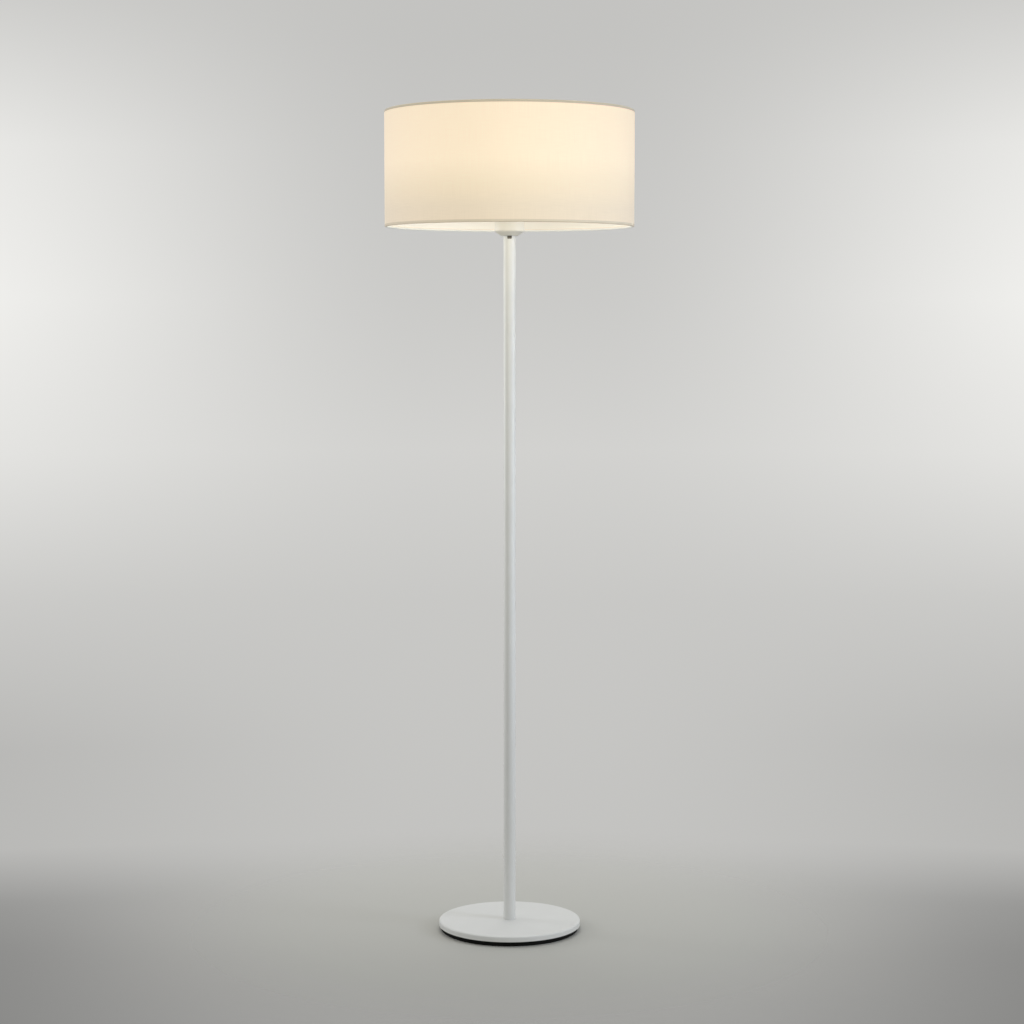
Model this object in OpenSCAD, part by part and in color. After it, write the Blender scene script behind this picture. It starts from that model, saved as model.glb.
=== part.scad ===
// Column floor lamp: a painted steel disc on a rubber pad, one plain tube as its
// column, a screw lampholder in a cup at the top, and a fabric drum shade that a
// threaded collar clamps down on the cup. Millimetres, +Z up. The origin lies on
// the floor under the middle of the column, and the front faces -Y.

/* [Base] */
// Diameter of the base plate
base_d = 260; // [220:1:320]
// Thickness of the base plate
plate_t = 10; // [8.5:0.5:14]
// Radius of the plate's rounded upper edge
plate_edge_r = 3; // [1:0.5:4]
// Thickness of the rubber pad under the plate
foot_t = 8.5; // [5:0.5:12]
// How far the pad stands in from the plate's edge
foot_inset = 4; // [3:0.5:12]
// Diameter of the hole in the middle of the pad
foot_hole_d = 62; // [54:1:90]
// Chamfer on the pad's lower outer edge
foot_chamfer = 1; // [0.5:0.1:2]
// Diameter of the recess under the plate, round the nut
pocket_d = 50; // [34:1:52]
// Depth of that recess
pocket_depth = 5.5; // [4:0.1:6]

/* [Cable way] */
// Outer diameter of the round lead that the inlet is made for
cable_d = 5.8; // [4:0.1:6.4]
// Clearance round the lead in the inlet, on the radius
cable_clear = 0.1; // [0.05:0.05:0.3]
// Width of the channel under the plate
channel_w = 12; // [10.5:0.5:16]
// Depth of the channel under the plate
channel_depth = 6.4; // [6:0.1:7]
// Rubber over the lead in the inlet bush
bush_wall = 1.3; // [1:0.1:1.6]
// Length of the bush inside the plate's edge
bush_len = 8; // [6:0.5:14]
// Thickness and overhang of the bush's lip outside the plate
bush_lip = 1.5; // [1:0.1:2.5]

/* [Column] */
// Outer diameter of the column tube
pole_d = 22; // [19:0.5:26]
// Wall of the column tube
pole_wall = 1.5; // [1:0.1:1.8]
// Length of the column tube
pole_len = 1254; // [900:1:1500]
// Length of the threaded plug in each end of the column
plug_len = 18; // [14:1:30]
// Width of the screw's notch in the column's top end
notch_w = 8; // [6:0.5:10]
// Depth of that notch
notch_depth = 5.5; // [5.5:0.1:8]
// Radius of the notch's lower corners
notch_corner_r = 1.5; // [0.5:0.1:2.5]
// Diameter of the lock screw in the notch
lock_screw_d = 3.5; // [3:0.5:4]

/* [Threaded tubes, nuts and washers] */
// Outer diameter of the threaded tubes that carry the lead
stud_d = 10; // [9:0.5:11]
// Bore of the threaded tubes
stud_bore = 7; // [6:0.1:7.6]
// Width of the nuts across their flats
nut_af = 16; // [14:0.5:18]
// Thickness of the nuts
nut_t = 4; // [3:0.1:5]
// Diameter of the flat washers
washer_d = 22; // [18:0.5:26]
// Thickness of the flat washers
washer_t = 1.2; // [1:0.1:1.6]
// Diameter of the toothed lock washer
lock_washer_d = 17; // [14:0.5:20]
// Thickness of the toothed lock washer
lock_washer_t = 0.9; // [0.6:0.1:1.2]
// Teeth of the lock washer
lock_washer_teeth = 8; // [6:1:12]

/* [Cup] */
// Outer diameter of the cup
cup_d = 54; // [52:0.5:60]
// Diameter of the cup's flat foot on the column
cup_foot_d = 31; // [26:0.5:36]
// Height of the cup
cup_h = 33.2; // [30:0.1:45]
// Height of the cone between the cup's foot and its wall
cup_cone_h = 8; // [5:0.5:12]
// Radius of the shoulder between that cone and the wall
cup_shoulder_r = 4; // [1:0.5:6]
// Radius of the edge between that cone and the foot
cup_foot_edge_r = 1.5; // [0.5:0.1:3]
// Wall of the cup
cup_wall = 1.2; // [0.8:0.1:2]
// Thickness of the cup's floor
cup_floor_t = 1.5; // [1:0.1:2.5]

/* [Lampholder] */
// Outer diameter of the lampholder's barrel
barrel_d = 39.5; // [38:0.1:41]
// Wall of the barrel
barrel_wall = 2.15; // [1.5:0.05:2.4]
// Bore of the sleeve that takes the lamp's cap
sleeve_bore = 28.4; // [28.2:0.1:29]
// Wall of that sleeve
sleeve_wall = 1.6; // [1:0.1:1.8]
// Diameter of the flange that carries the shade
seat_d = 50.6; // [46:0.1:50.8]
// Thickness of that flange
seat_t = 2; // [1.5:0.1:3]
// Height of the contact block
block_h = 12; // [10:0.5:12.5]
// Length of the centre contact over its two legs
tongue_len = 12; // [9:0.5:12]
// Width of the centre contact
tongue_w = 6; // [4:0.5:7]
// Height of the centre contact
tongue_h = 9.7; // [8:0.1:10.5]
// Thickness of the contact strips
strip_t = 0.5; // [0.3:0.05:0.5]
// Width of the side contact
side_strip_w = 4; // [3:0.1:4]
// Way that the centre contact can be pressed
tongue_travel = 1; // [0.5:0.1:1.5]
// Head diameter of the terminal screws
terminal_head_d = 4.5; // [4:0.1:5]

/* [Shade carrier] */
// Outer diameter of the fitter ring
ring_d = 57; // [55:0.5:64]
// Thickness of the fitter ring
ring_t = 2; // [1.5:0.1:3]
// Height of the fitter ring's middle above the shade's lower edge
fitter_drop = 19; // [16:0.5:40]
// Diameter of the three arms
arm_d = 3.5; // [3:0.1:5]
// Bend radius of the arms, at their middle line
arm_bend_r = 10; // [6:0.5:12]
// Diameter of the wire rings in the shade's edges
wire_d = 3; // [2.5:0.1:4]
// Diameter of the collar over the ring
collar_d = 56; // [52:0.5:57]
// Thickness of the collar's flange
collar_flange_t = 2.5; // [2:0.1:4]
// Diameter of the collar's grip
collar_grip_d = 49; // [46:0.5:51]
// Height of the collar
collar_h = 8; // [6:0.1:10]
// Flutes round the collar's grip
collar_flutes = 24; // [12:1:36]
// Way that the collar can be unscrewed up the barrel
collar_travel = 8; // [4:0.5:9]

/* [Shade] */
// Outer diameter of the drum shade
shade_d = 450; // [360:1:520]
// Height of the drum shade
shade_h = 208; // [150:1:260]
// Thickness of the fabric
fabric_t = 0.6; // [0.4:0.1:1]
// Thickness of the plastic liner behind the fabric
liner_t = 0.5; // [0.4:0.1:1]
// Height of the folded hems at the shade's edges
hem_h = 6; // [5:0.5:12]

/* [Lamp] */
// Diameter of the lamp's globe
globe_d = 60; // [55:1:66]
// Length of the lamp from its contact to its top
lamp_len = 108; // [100:1:120]
// Wall of the globe
globe_wall = 1.2; // [0.8:0.1:2]
// How far the globe's joint with its housing lies under the globe's middle
globe_joint = 13; // [9:0.5:16]
// Outer diameter of the screw cap
cap_d = 26.2; // [25.8:0.1:26.3]
// Length of the screw cap
cap_len = 21.5; // [20:0.5:22]
// Length of the contact and insulator under the cap
cap_tip_len = 4.5; // [3.5:0.5:5]
// Wall of the screw cap
cap_wall = 0.5; // [0.3:0.1:0.8]
// Light chips on the board in the globe
chip_count = 12; // [6:1:18]

/* [Clearances] */
// Gap between pieces that move against each other
run_gap = 0.3; // [0.25:0.05:0.4]
// Gap round screwed pieces, on the radius
screw_gap = 0.1; // [0.05:0.05:0.15]
// Gap at welded, glued and pressed pieces
seat_gap = 0.05; // [0.02:0.01:0.1]

/* [Hidden] */
$fn = 96;
wide_fn = 180;
cut = 1;
hole_clear = 0.3;

// Base, from the floor up
plate_top = foot_t + plate_t;
pad_r = base_d / 2 - foot_inset;
pocket_top = foot_t + pocket_depth;
channel_top = foot_t + channel_depth;
bush_w = channel_w - 2 * screw_gap;
bush_top = channel_top - screw_gap;
bush_bore = cable_d + 2 * cable_clear;
bush_z = bush_top - bush_wall - bush_bore / 2;
bush_bottom = bush_z - bush_bore / 2 - bush_wall;
bush_y = base_d / 2 - bush_len;
foot_washer_z = pocket_top - washer_t;
foot_lock_z = foot_washer_z - lock_washer_t;
foot_nut_z = foot_lock_z - nut_t;
stud_end = 0.3;

// Column
pole_bore = pole_d - 2 * pole_wall;
pole_top = plate_top + pole_len;
plug_d = pole_bore - 2 * seat_gap;
plug_chamfer = 1;
lock_screw_z = pole_top - notch_depth + lock_screw_d / 2 + 0.5;

// Cup, and the nut that holds it
cup_floor_z = pole_top + cup_floor_t;
cup_nut_z = cup_floor_z + washer_t;
cup_top = pole_top + cup_h;

// Lampholder
base_boss_d = 18;
base_boss_h = 5.6;
base_floor_t = 2;
base_joint_h = 4;
base_z = cup_nut_z + nut_t + 2 * screw_gap;
block_z = base_z + base_boss_h + base_floor_t;
block_top = block_z + block_h;
block_d = barrel_d - 2 * barrel_wall - 2 * screw_gap - 2;
base_top = block_top - 1;
joint_z = base_top - base_joint_h;
joint_d = barrel_d - barrel_wall;
sleeve_d = sleeve_bore + 2 * sleeve_wall;
sleeve_z = block_top + 3;
block_slot_depth = block_h - 3;
wire_hole_d = 3;
wire_hole_r = 8;
wire_room_d = 14;
wire_room_h = 3;
terminal_r = 10.2;
terminal_head_t = 1.8;
terminal_shank_d = 2.5;
terminal_depth = 5;
side_strip_h = 13;
tongue_top = block_top - block_slot_depth + tongue_travel + run_gap + tongue_h;

// Shade carrier
ring_z = cup_top + run_gap;
ring_bore = barrel_d + 2 * run_gap + 0.5;
ring_mid = ring_z + ring_t / 2;
collar_z = ring_z + ring_t + run_gap;
barrel_over = 1.7;
barrel_top = collar_z + collar_h + collar_travel + barrel_over;
collar_bore = barrel_d + 2 * run_gap + 0.2;
shade_bottom = ring_mid - fitter_drop;
shade_top = shade_bottom + shade_h;

arm_angles = [90, 210, 330];

// Shade, from the outside in
skin_r = shade_d / 2;
liner_r = skin_r - fabric_t;
liner_in = liner_r - liner_t;
wire_r = liner_in - wire_d / 2 - seat_gap;
hem_in = wire_r - wire_d / 2 - seat_gap - fabric_t;
lower_wire_z = shade_bottom + fabric_t + seat_gap + wire_d / 2;
upper_wire_z = shade_top - fabric_t - seat_gap - wire_d / 2;

// Lamp, from its tip up
tip_z = tongue_top + run_gap;
tip_d = 9;
tip_t = 1.5;
cap_z = tip_z + cap_tip_len;
cap_lip_d = 19;
cap_top = cap_z + cap_len;
neck_d = 28;
globe_z = tip_z + lamp_len - globe_d / 2;
joint_globe_z = globe_z - globe_joint;
joint_globe_r = sqrt(pow(globe_d / 2, 2) - pow(globe_joint, 2));
board_t = 1.6;
chip_w = 2.8;
chip_t = 0.7;

// ---------- shapes that repeat ----------

// Round tube standing on z
module tube(d, bore, z, h) {
    translate([0, 0, z])
        difference() {
            cylinder(d = d, h = h);
            translate([0, 0, -cut])
                cylinder(d = bore, h = h + 2 * cut);
        }
}

// Ring of round wire about the Z axis
module wire_ring(z) {
    translate([0, 0, z])
        rotate_extrude($fn = wide_fn)
            translate([wire_r, 0])
                circle(d = wire_d, $fn = 24);
}

// Hexagon nut with its corners turned off at both faces
module hex_nut(z) {
    corner_r = nut_af / 2 / cos(30);
    bevel = corner_r - nut_af / 2;
    color("silver")
        translate([0, 0, z])
            difference() {
                intersection() {
                    cylinder(r = corner_r, h = nut_t, $fn = 6);
                    rotate_extrude()
                        polygon([
                            [0, 0], [corner_r - bevel, 0], [corner_r, bevel / 2],
                            [corner_r, nut_t - bevel / 2], [corner_r - bevel, nut_t], [0, nut_t]
                        ]);
                }
                translate([0, 0, -cut])
                    cylinder(d = stud_d + 2 * screw_gap, h = nut_t + 2 * cut);
            }
}

// Flat washer round a threaded tube
module flat_washer(z) {
    color("silver")
        tube(washer_d, stud_d + 2 * hole_clear, z, washer_t);
}

// Threaded tube that carries the lead
module threaded_tube(z, h) {
    color("darkgoldenrod")
        tube(stud_d, stud_bore, z, h);
}

// Threaded plug pressed into one end of the column
module column_plug(z) {
    translate([0, 0, z])
        rotate_extrude()
            polygon([
                [stud_d / 2 + screw_gap, 0], [plug_d / 2 - plug_chamfer, 0],
                [plug_d / 2, plug_chamfer], [plug_d / 2, plug_len - plug_chamfer],
                [plug_d / 2 - plug_chamfer, plug_len], [stud_d / 2 + screw_gap, plug_len]
            ]);
}

// Outline with a round top that stands from z0 to z1
module arch(w, z0, z1) {
    translate([-w / 2, z0])
        square([w, z1 - w / 2 - z0]);
    translate([0, z1 - w / 2])
        intersection() {
            circle(d = w);
            translate([-w, -w / 4])
                square([2 * w, w]);
        }
}

// The arch drawn out along Y, from y0 to y1
module arch_along_y(w, z0, z1, y0, y1) {
    translate([0, y1, 0])
        rotate([90, 0, 0])
            linear_extrude(height = y1 - y0)
                arch(w, z0, z1);
}

// ---------- base ----------

// Ring of rubber, notched at the back for the bush
module foot_pad() {
    mouth_w = channel_w + 2 * run_gap;
    color("dimgray")
        difference() {
            rotate_extrude($fn = wide_fn)
                polygon([
                    [foot_hole_d / 2, 0], [pad_r - foot_chamfer, 0], [pad_r, foot_chamfer],
                    [pad_r, foot_t], [foot_hole_d / 2, foot_t]
                ]);
            translate([-mouth_w / 2, bush_y - run_gap, -cut])
                cube([mouth_w, base_d / 2, foot_t + 2 * cut]);
        }
}

module plate_outline() {
    r = base_d / 2;
    translate([0, foot_t])
        square([r, plate_t - plate_edge_r]);
    translate([0, foot_t])
        square([r - plate_edge_r, plate_t]);
    translate([r - plate_edge_r, plate_top - plate_edge_r])
        circle(r = plate_edge_r, $fn = 32);
}

module base_plate() {
    color("gainsboro")
        difference() {
            rotate_extrude($fn = wide_fn)
                plate_outline();
            translate([0, 0, foot_t - cut])
                cylinder(d = stud_d + 2 * hole_clear, h = plate_t + 2 * cut);
            translate([0, 0, foot_t - cut])
                cylinder(d = pocket_d, h = pocket_depth + cut);
            arch_along_y(channel_w, foot_t - cut, channel_top, pocket_d / 2 - 2, base_d);
        }
}

// Rubber bush in the channel's mouth, with a lip outside the plate
module cable_bush() {
    lip_y = base_d / 2;
    color("dimgray")
        difference() {
            union() {
                arch_along_y(bush_w, bush_bottom, bush_top, bush_y, lip_y + seat_gap);
                arch_along_y(bush_w + 2 * bush_lip, bush_bottom - bush_lip, bush_top + bush_lip,
                             lip_y + seat_gap, lip_y + seat_gap + bush_lip);
            }
            translate([0, lip_y + 2 * bush_lip, bush_z])
                rotate([90, 0, 0])
                    cylinder(d = bush_bore, h = base_d / 2);
        }
}

module foot_nut() {
    hex_nut(foot_nut_z);
}

// Lock washer with teeth cut into its inner edge
module foot_lock_washer() {
    inner_r = stud_d / 2 + hole_clear;
    tooth_r = (inner_r + lock_washer_d / 2) / 2;
    tooth_gap = inner_r * PI / lock_washer_teeth;
    color("silver")
        difference() {
            tube(lock_washer_d, 2 * inner_r, foot_lock_z, lock_washer_t);
            for (i = [0 : lock_washer_teeth - 1])
                rotate([0, 0, i * 360 / lock_washer_teeth])
                    translate([0, -tooth_gap / 2, foot_lock_z - cut])
                        cube([tooth_r, tooth_gap, lock_washer_t + 2 * cut]);
        }
}

module foot_washer() {
    flat_washer(foot_washer_z);
}

module lower_threaded_tube() {
    z = foot_nut_z - stud_end;
    threaded_tube(z, plate_top + plug_len - stud_end - z);
}

// ---------- column ----------

module lower_plug() {
    color("gray")
        column_plug(plate_top);
}

module column_tube() {
    corner_x = notch_w / 2 - notch_corner_r;
    color("gainsboro")
        difference() {
            tube(pole_d, pole_bore, plate_top, pole_len);
            translate([0, 0, pole_top - notch_depth])
                rotate([90, 0, 0])
                    linear_extrude(height = pole_d) {
                        for (x = [-corner_x, corner_x])
                            translate([x, notch_corner_r])
                                circle(r = notch_corner_r, $fn = 32);
                        translate([-corner_x, 0])
                            square([2 * corner_x, notch_depth + cut]);
                        translate([-notch_w / 2, notch_corner_r])
                            square([notch_w, notch_depth - notch_corner_r + cut]);
                    }
        }
}

module upper_plug() {
    color("dimgray")
        difference() {
            column_plug(pole_top - plug_len);
            translate([0, 0, lock_screw_z])
                rotate([90, 0, 0])
                    cylinder(d = lock_screw_d + 2 * screw_gap, h = pole_d);
        }
}

// Socket screw that stops the threaded tube from turning
module lock_screw() {
    screw_len = (plug_d - stud_d) / 2 - 2 * screw_gap;
    socket_d = lock_screw_d * 0.55;
    color("dimgray")
        translate([0, -plug_d / 2, lock_screw_z])
            rotate([-90, 0, 0])
                difference() {
                    cylinder(d = lock_screw_d, h = screw_len);
                    translate([0, 0, -cut])
                        cylinder(d = socket_d, h = cut + screw_len / 2, $fn = 6);
                }
}

module upper_threaded_tube() {
    z = pole_top - plug_len + stud_end;
    threaded_tube(z, base_z + base_boss_h - z);
}

// ---------- cup ----------

// Points of a corner rounded to radius r, on the way from p past q to s
function rounded(p, q, s, r, steps = 8) =
    let (
        u = (p - q) / norm(p - q),
        v = (s - q) / norm(s - q),
        half = acos(u * v) / 2,
        centre = q + (u + v) / norm(u + v) * r / sin(half),
        start = q + u * r / tan(half) - centre,
        turn = (180 - 2 * half) * sign(cross(v, u))
    )
    [for (i = [0 : steps])
        let (a = turn * i / steps)
        centre + [start[0] * cos(a) - start[1] * sin(a), start[0] * sin(a) + start[1] * cos(a)]];

// Outline of the cup: a flat foot, a cone and a straight wall up to z1
function cup_points(foot_r, wall_r, z0, z1) =
    let (
        foot = [foot_r, z0],
        shoulder = [wall_r, z0 + cup_cone_h]
    )
    concat(
        [[0, z0]],
        rounded([0, z0], foot, shoulder, cup_foot_edge_r),
        rounded(foot, shoulder, [wall_r, z1], cup_shoulder_r),
        [[wall_r, z1], [0, z1]]
    );

module holder_cup() {
    foot_r = cup_foot_d / 2;
    wall_r = cup_d / 2;
    color("whitesmoke")
        difference() {
            rotate_extrude()
                polygon(cup_points(foot_r, wall_r, pole_top, cup_top));
            rotate_extrude()
                polygon(cup_points(foot_r - cup_wall, wall_r - cup_wall, cup_floor_z, cup_top + cut));
            translate([0, 0, pole_top - cut])
                cylinder(d = stud_d + 2 * hole_clear, h = cup_floor_t + 2 * cut);
        }
}

module cup_washer() {
    flat_washer(cup_floor_z);
}

module cup_nut() {
    hex_nut(cup_nut_z);
}

// ---------- lampholder ----------

// Dish on a threaded boss, with a rebate that the barrel sits on
module holder_base() {
    r = barrel_d / 2;
    floor_z = base_z + base_boss_h;
    color("white")
        rotate_extrude()
            polygon([
                [stud_d / 2 + screw_gap, base_z], [base_boss_d / 2, base_z],
                [base_boss_d / 2, floor_z - 2], [base_boss_d / 2 + 2, floor_z], [r - 2, floor_z],
                [r, floor_z + base_floor_t], [r, joint_z], [joint_d / 2, joint_z],
                [joint_d / 2, base_top], [block_d / 2 + screw_gap, base_top],
                [block_d / 2 + screw_gap, block_z], [stud_d / 2 + screw_gap, block_z]
            ]);
}

module contact_block() {
    color("ivory")
        translate([0, 0, block_z])
            difference() {
                cylinder(d = block_d, h = block_h);
                // Slot for the centre contact
                translate([-tongue_len / 2 - run_gap, -tongue_w / 2 - run_gap,
                           block_h - block_slot_depth])
                    cube([tongue_len + 2 * run_gap, tongue_w + 2 * run_gap, block_h]);
                // Room and holes for the two wires
                translate([0, 0, -cut])
                    cylinder(d = wire_room_d, h = wire_room_h - 1 + cut);
                for (side = [-1, 1])
                    translate([0, side * wire_hole_r, -cut])
                        cylinder(d = wire_hole_d, h = block_h + 2 * cut);
                // Holes for the terminal screws
                for (side = [-1, 1])
                    translate([side * terminal_r, 0, block_h - terminal_depth - screw_gap])
                        cylinder(d = terminal_shank_d + 2 * screw_gap, h = block_h);
            }
}

// Angled strip under one terminal screw, up the wall of the sleeve
module side_contact() {
    out_x = sleeve_bore / 2 - 0.2;
    in_x = tongue_len / 2 + 1.5;
    color("goldenrod")
        translate([0, 0, block_top])
            difference() {
                union() {
                    translate([in_x, -side_strip_w / 2, 0])
                        cube([out_x - in_x, side_strip_w, strip_t]);
                    translate([out_x - strip_t, -side_strip_w / 2, 0])
                        cube([strip_t, side_strip_w, side_strip_h]);
                }
                translate([terminal_r, 0, -cut])
                    cylinder(d = terminal_shank_d + 2 * screw_gap, h = strip_t + 2 * cut);
            }
}

// Sprung bridge that the lamp's tip presses down
module centre_contact() {
    color("goldenrod")
        translate([-tongue_len / 2, tongue_w / 2, tongue_top - tongue_h])
            rotate([90, 0, 0])
                linear_extrude(height = tongue_w)
                    polygon([
                        [0, 0], [strip_t, 0], [strip_t + 1, tongue_h - strip_t],
                        [tongue_len - strip_t - 1, tongue_h - strip_t], [tongue_len - strip_t, 0],
                        [tongue_len, 0], [tongue_len - 1, tongue_h], [1, tongue_h]
                    ]);
}

module terminal_screws() {
    color("silver")
        for (side = [-1, 1])
            translate([side * terminal_r, 0, block_top + (side > 0 ? strip_t : 0)])
                difference() {
                    union() {
                        cylinder(d = terminal_head_d, h = terminal_head_t);
                        translate([0, 0, -terminal_depth])
                            cylinder(d = terminal_shank_d, h = terminal_depth + cut / 2);
                    }
                    translate([-terminal_head_d, -0.4, terminal_head_t * 0.45])
                        cube([2 * terminal_head_d, 0.8, terminal_head_t]);
                }
}

// Barrel with the flange under the shade and the sleeve for the lamp's cap
module holder_barrel() {
    r = barrel_d / 2;
    wall_r = r - barrel_wall;
    roof_t = 2;
    color("white")
        rotate_extrude()
            polygon([
                [joint_d / 2 + screw_gap, joint_z], [r, joint_z],
                [r, cup_top - seat_t - 1], [seat_d / 2 - 1, cup_top - seat_t],
                [seat_d / 2, cup_top - seat_t + 0.5], [seat_d / 2, cup_top],
                [r, cup_top], [r, barrel_top - 1], [r - 1, barrel_top],
                [sleeve_bore / 2 + 0.8, barrel_top], [sleeve_bore / 2, barrel_top - 0.8],
                [sleeve_bore / 2, sleeve_z], [sleeve_d / 2, sleeve_z],
                [sleeve_d / 2, barrel_top - roof_t], [wall_r, barrel_top - roof_t],
                [wall_r, base_top + 1], [joint_d / 2 + screw_gap, base_top + screw_gap]
            ]);
}

// ---------- shade carrier ----------

// Threaded collar with a fluted grip, which clamps the fitter ring
module shade_collar() {
    bore_r = collar_bore / 2;
    grip_r = collar_grip_d / 2;
    flute_r = 2;
    flute_z = collar_flange_t + 0.6;
    color("white")
        translate([0, 0, collar_z])
            difference() {
                rotate_extrude()
                    polygon([
                        [bore_r, 0], [collar_d / 2 - 0.5, 0], [collar_d / 2, 0.5],
                        [collar_d / 2, collar_flange_t - 0.8],
                        [collar_d / 2 - 0.8, collar_flange_t], [grip_r, collar_flange_t],
                        [grip_r, collar_h - 0.8], [grip_r - 0.8, collar_h], [bore_r, collar_h]
                    ]);
                for (i = [0 : collar_flutes - 1])
                    rotate([0, 0, i * 360 / collar_flutes])
                        translate([grip_r + flute_r - 0.8, 0, flute_z])
                            cylinder(r = flute_r, h = collar_h, $fn = 24);
            }
}

module fitter_ring() {
    color("whitesmoke")
        tube(ring_d, ring_bore, ring_z, ring_t);
}

// One cranked arm, from the ring's edge down to the lower wire ring. The wire is
// a little thicker in its bend, and the straight lengths run into the bend.
module fitter_arm(angle) {
    arm_r = arm_d / 2;
    crank = 45;
    drop = ring_mid - lower_wire_z;
    slant_len = (drop - arm_bend_r * (1 - cos(crank))) / sin(crank);
    bend_x = wire_r - slant_len * cos(crank) - arm_bend_r * sin(crank);
    bend_swell = 0.02;
    run_in = 0.4;
    weld_back = wire_d / 3;
    color("whitesmoke")
        rotate([0, 0, angle])
            difference() {
                union() {
                    translate([0, 0, ring_mid])
                        rotate([0, 90, 0])
                            cylinder(r = arm_r, h = bend_x + run_in, $fn = 24);
                    translate([bend_x, 0, ring_mid - arm_bend_r])
                        rotate([90, 0, 0])
                            rotate([0, 0, 90 - crank])
                                rotate_extrude(angle = crank)
                                    translate([arm_bend_r, 0])
                                        circle(r = arm_r + bend_swell, $fn = 24);
                    translate([wire_r, 0, lower_wire_z])
                        rotate([0, crank - 90, 0])
                            translate([0, 0, weld_back])
                                cylinder(r = arm_r, h = slant_len - weld_back + run_in, $fn = 24);
                }
                translate([0, 0, ring_z - cut])
                    cylinder(d = ring_d + 2 * seat_gap, h = ring_t + 2 * cut);
                translate([0, 0, lower_wire_z])
                    rotate_extrude($fn = wide_fn)
                        translate([wire_r, 0])
                            circle(d = wire_d + 2 * seat_gap, $fn = 24);
            }
}

module fitter_arm_back() {
    fitter_arm(arm_angles[0]);
}

module fitter_arm_left() {
    fitter_arm(arm_angles[1]);
}

module fitter_arm_right() {
    fitter_arm(arm_angles[2]);
}

module lower_wire_ring() {
    color("whitesmoke")
        wire_ring(lower_wire_z);
}

module upper_wire_ring() {
    color("whitesmoke")
        wire_ring(upper_wire_z);
}

// ---------- shade ----------

module shade_liner() {
    color("oldlace")
        tube(2 * liner_r, 2 * liner_in, shade_bottom + fabric_t, shade_h - 2 * fabric_t,
             $fn = wide_fn);
}

module shade_fabric() {
    color("antiquewhite")
        tube(2 * skin_r, 2 * liner_r, shade_bottom + fabric_t, shade_h - 2 * fabric_t,
             $fn = wide_fn);
}

// Edge of the fabric, folded round the wire ring and up behind it
module hem_outline() {
    translate([hem_in, 0])
        square([skin_r - hem_in, fabric_t]);
    translate([hem_in, 0])
        square([fabric_t, hem_h]);
}

// The lower hem is slit where an arm comes down to the wire ring
module lower_hem() {
    slit_w = arm_d + 4 * run_gap;
    slit_z = fabric_t + run_gap;
    color("tan")
        translate([0, 0, shade_bottom])
            difference() {
                rotate_extrude($fn = wide_fn)
                    hem_outline();
                for (angle = arm_angles)
                    rotate([0, 0, angle])
                        translate([hem_in - cut, -slit_w / 2, slit_z])
                            cube([cut + fabric_t + seat_gap, slit_w, hem_h]);
            }
}

module upper_hem() {
    color("tan")
        translate([0, 0, shade_top])
            mirror([0, 0, 1])
                rotate_extrude($fn = wide_fn)
                    hem_outline();
}

// ---------- lamp ----------

// Frosted globe, open where the housing closes it
module lamp_globe() {
    color("ivory")
        translate([0, 0, globe_z])
            rotate_extrude()
                intersection() {
                    difference() {
                        circle(d = globe_d);
                        circle(d = globe_d - 2 * globe_wall);
                    }
                    translate([0, -globe_joint])
                        square([globe_d, globe_d]);
                }
}

// Disc with its light chips, on top of the housing
module lamp_board() {
    board_d = 2 * joint_globe_r - 14;
    color("white")
        translate([0, 0, joint_globe_z]) {
            cylinder(d = board_d, h = board_t);
            for (i = [0 : chip_count - 1])
                rotate([0, 0, i * 360 / chip_count])
                    translate([board_d / 3 - chip_w / 2, -chip_w / 2, board_t - seat_gap])
                        cube([chip_w, chip_w, chip_t]);
        }
}

// Housing that swells from the cap's neck to the globe, with a plug in the cap
module lamp_housing() {
    steps = 12;
    plug_r = cap_d / 2 - cap_wall - seat_gap;
    color("white")
        rotate_extrude()
            polygon(concat(
                [[0, cap_z + 2], [plug_r, cap_z + 2], [plug_r, cap_top]],
                [for (i = [0 : steps])
                    let (t = i / steps, swell = t * t * (3 - 2 * t))
                    [neck_d / 2 + (joint_globe_r - neck_d / 2) * (swell + t) / 2,
                     cap_top + (joint_globe_z - cap_top) * t]],
                [[0, joint_globe_z]]
            ));
}

// Thin screw cap, drawn smooth at the crest of its thread
module lamp_cap() {
    r = cap_d / 2;
    color("silver")
        rotate_extrude()
            polygon([
                [cap_lip_d / 2, cap_z], [r - 1, cap_z], [r, cap_z + 1], [r, cap_top],
                [r - cap_wall, cap_top], [r - cap_wall, cap_z + 1.2],
                [r - 1.2, cap_z + cap_wall], [cap_lip_d / 2, cap_z + cap_wall]
            ]);
}

// Glass cone between the cap and the tip
module lamp_insulator() {
    color("dimgray")
        rotate_extrude()
            polygon([
                [0, tip_z + tip_t], [tip_d / 2, tip_z + tip_t],
                [cap_lip_d / 2 - seat_gap, cap_z], [cap_lip_d / 2 - seat_gap, cap_z + 2],
                [0, cap_z + 2]
            ]);
}

module lamp_tip() {
    color("silver")
        rotate_extrude()
            polygon([
                [0, tip_z], [tip_d / 4, tip_z], [tip_d / 2, tip_z + tip_t / 2],
                [tip_d / 2, tip_z + tip_t], [0, tip_z + tip_t]
            ]);
}

foot_pad();
base_plate();
cable_bush();
foot_nut();
foot_lock_washer();
foot_washer();
lower_threaded_tube();
lower_plug();
column_tube();
upper_plug();
lock_screw();
upper_threaded_tube();
holder_cup();
cup_washer();
cup_nut();
holder_base();
contact_block();
side_contact();
centre_contact();
terminal_screws();
holder_barrel();
shade_collar();
fitter_ring();
fitter_arm_back();
fitter_arm_left();
fitter_arm_right();
lower_wire_ring();
upper_wire_ring();
shade_liner();
shade_fabric();
lower_hem();
upper_hem();
lamp_globe();
lamp_board();
lamp_housing();
lamp_cap();
lamp_insulator();
lamp_tip();
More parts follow.
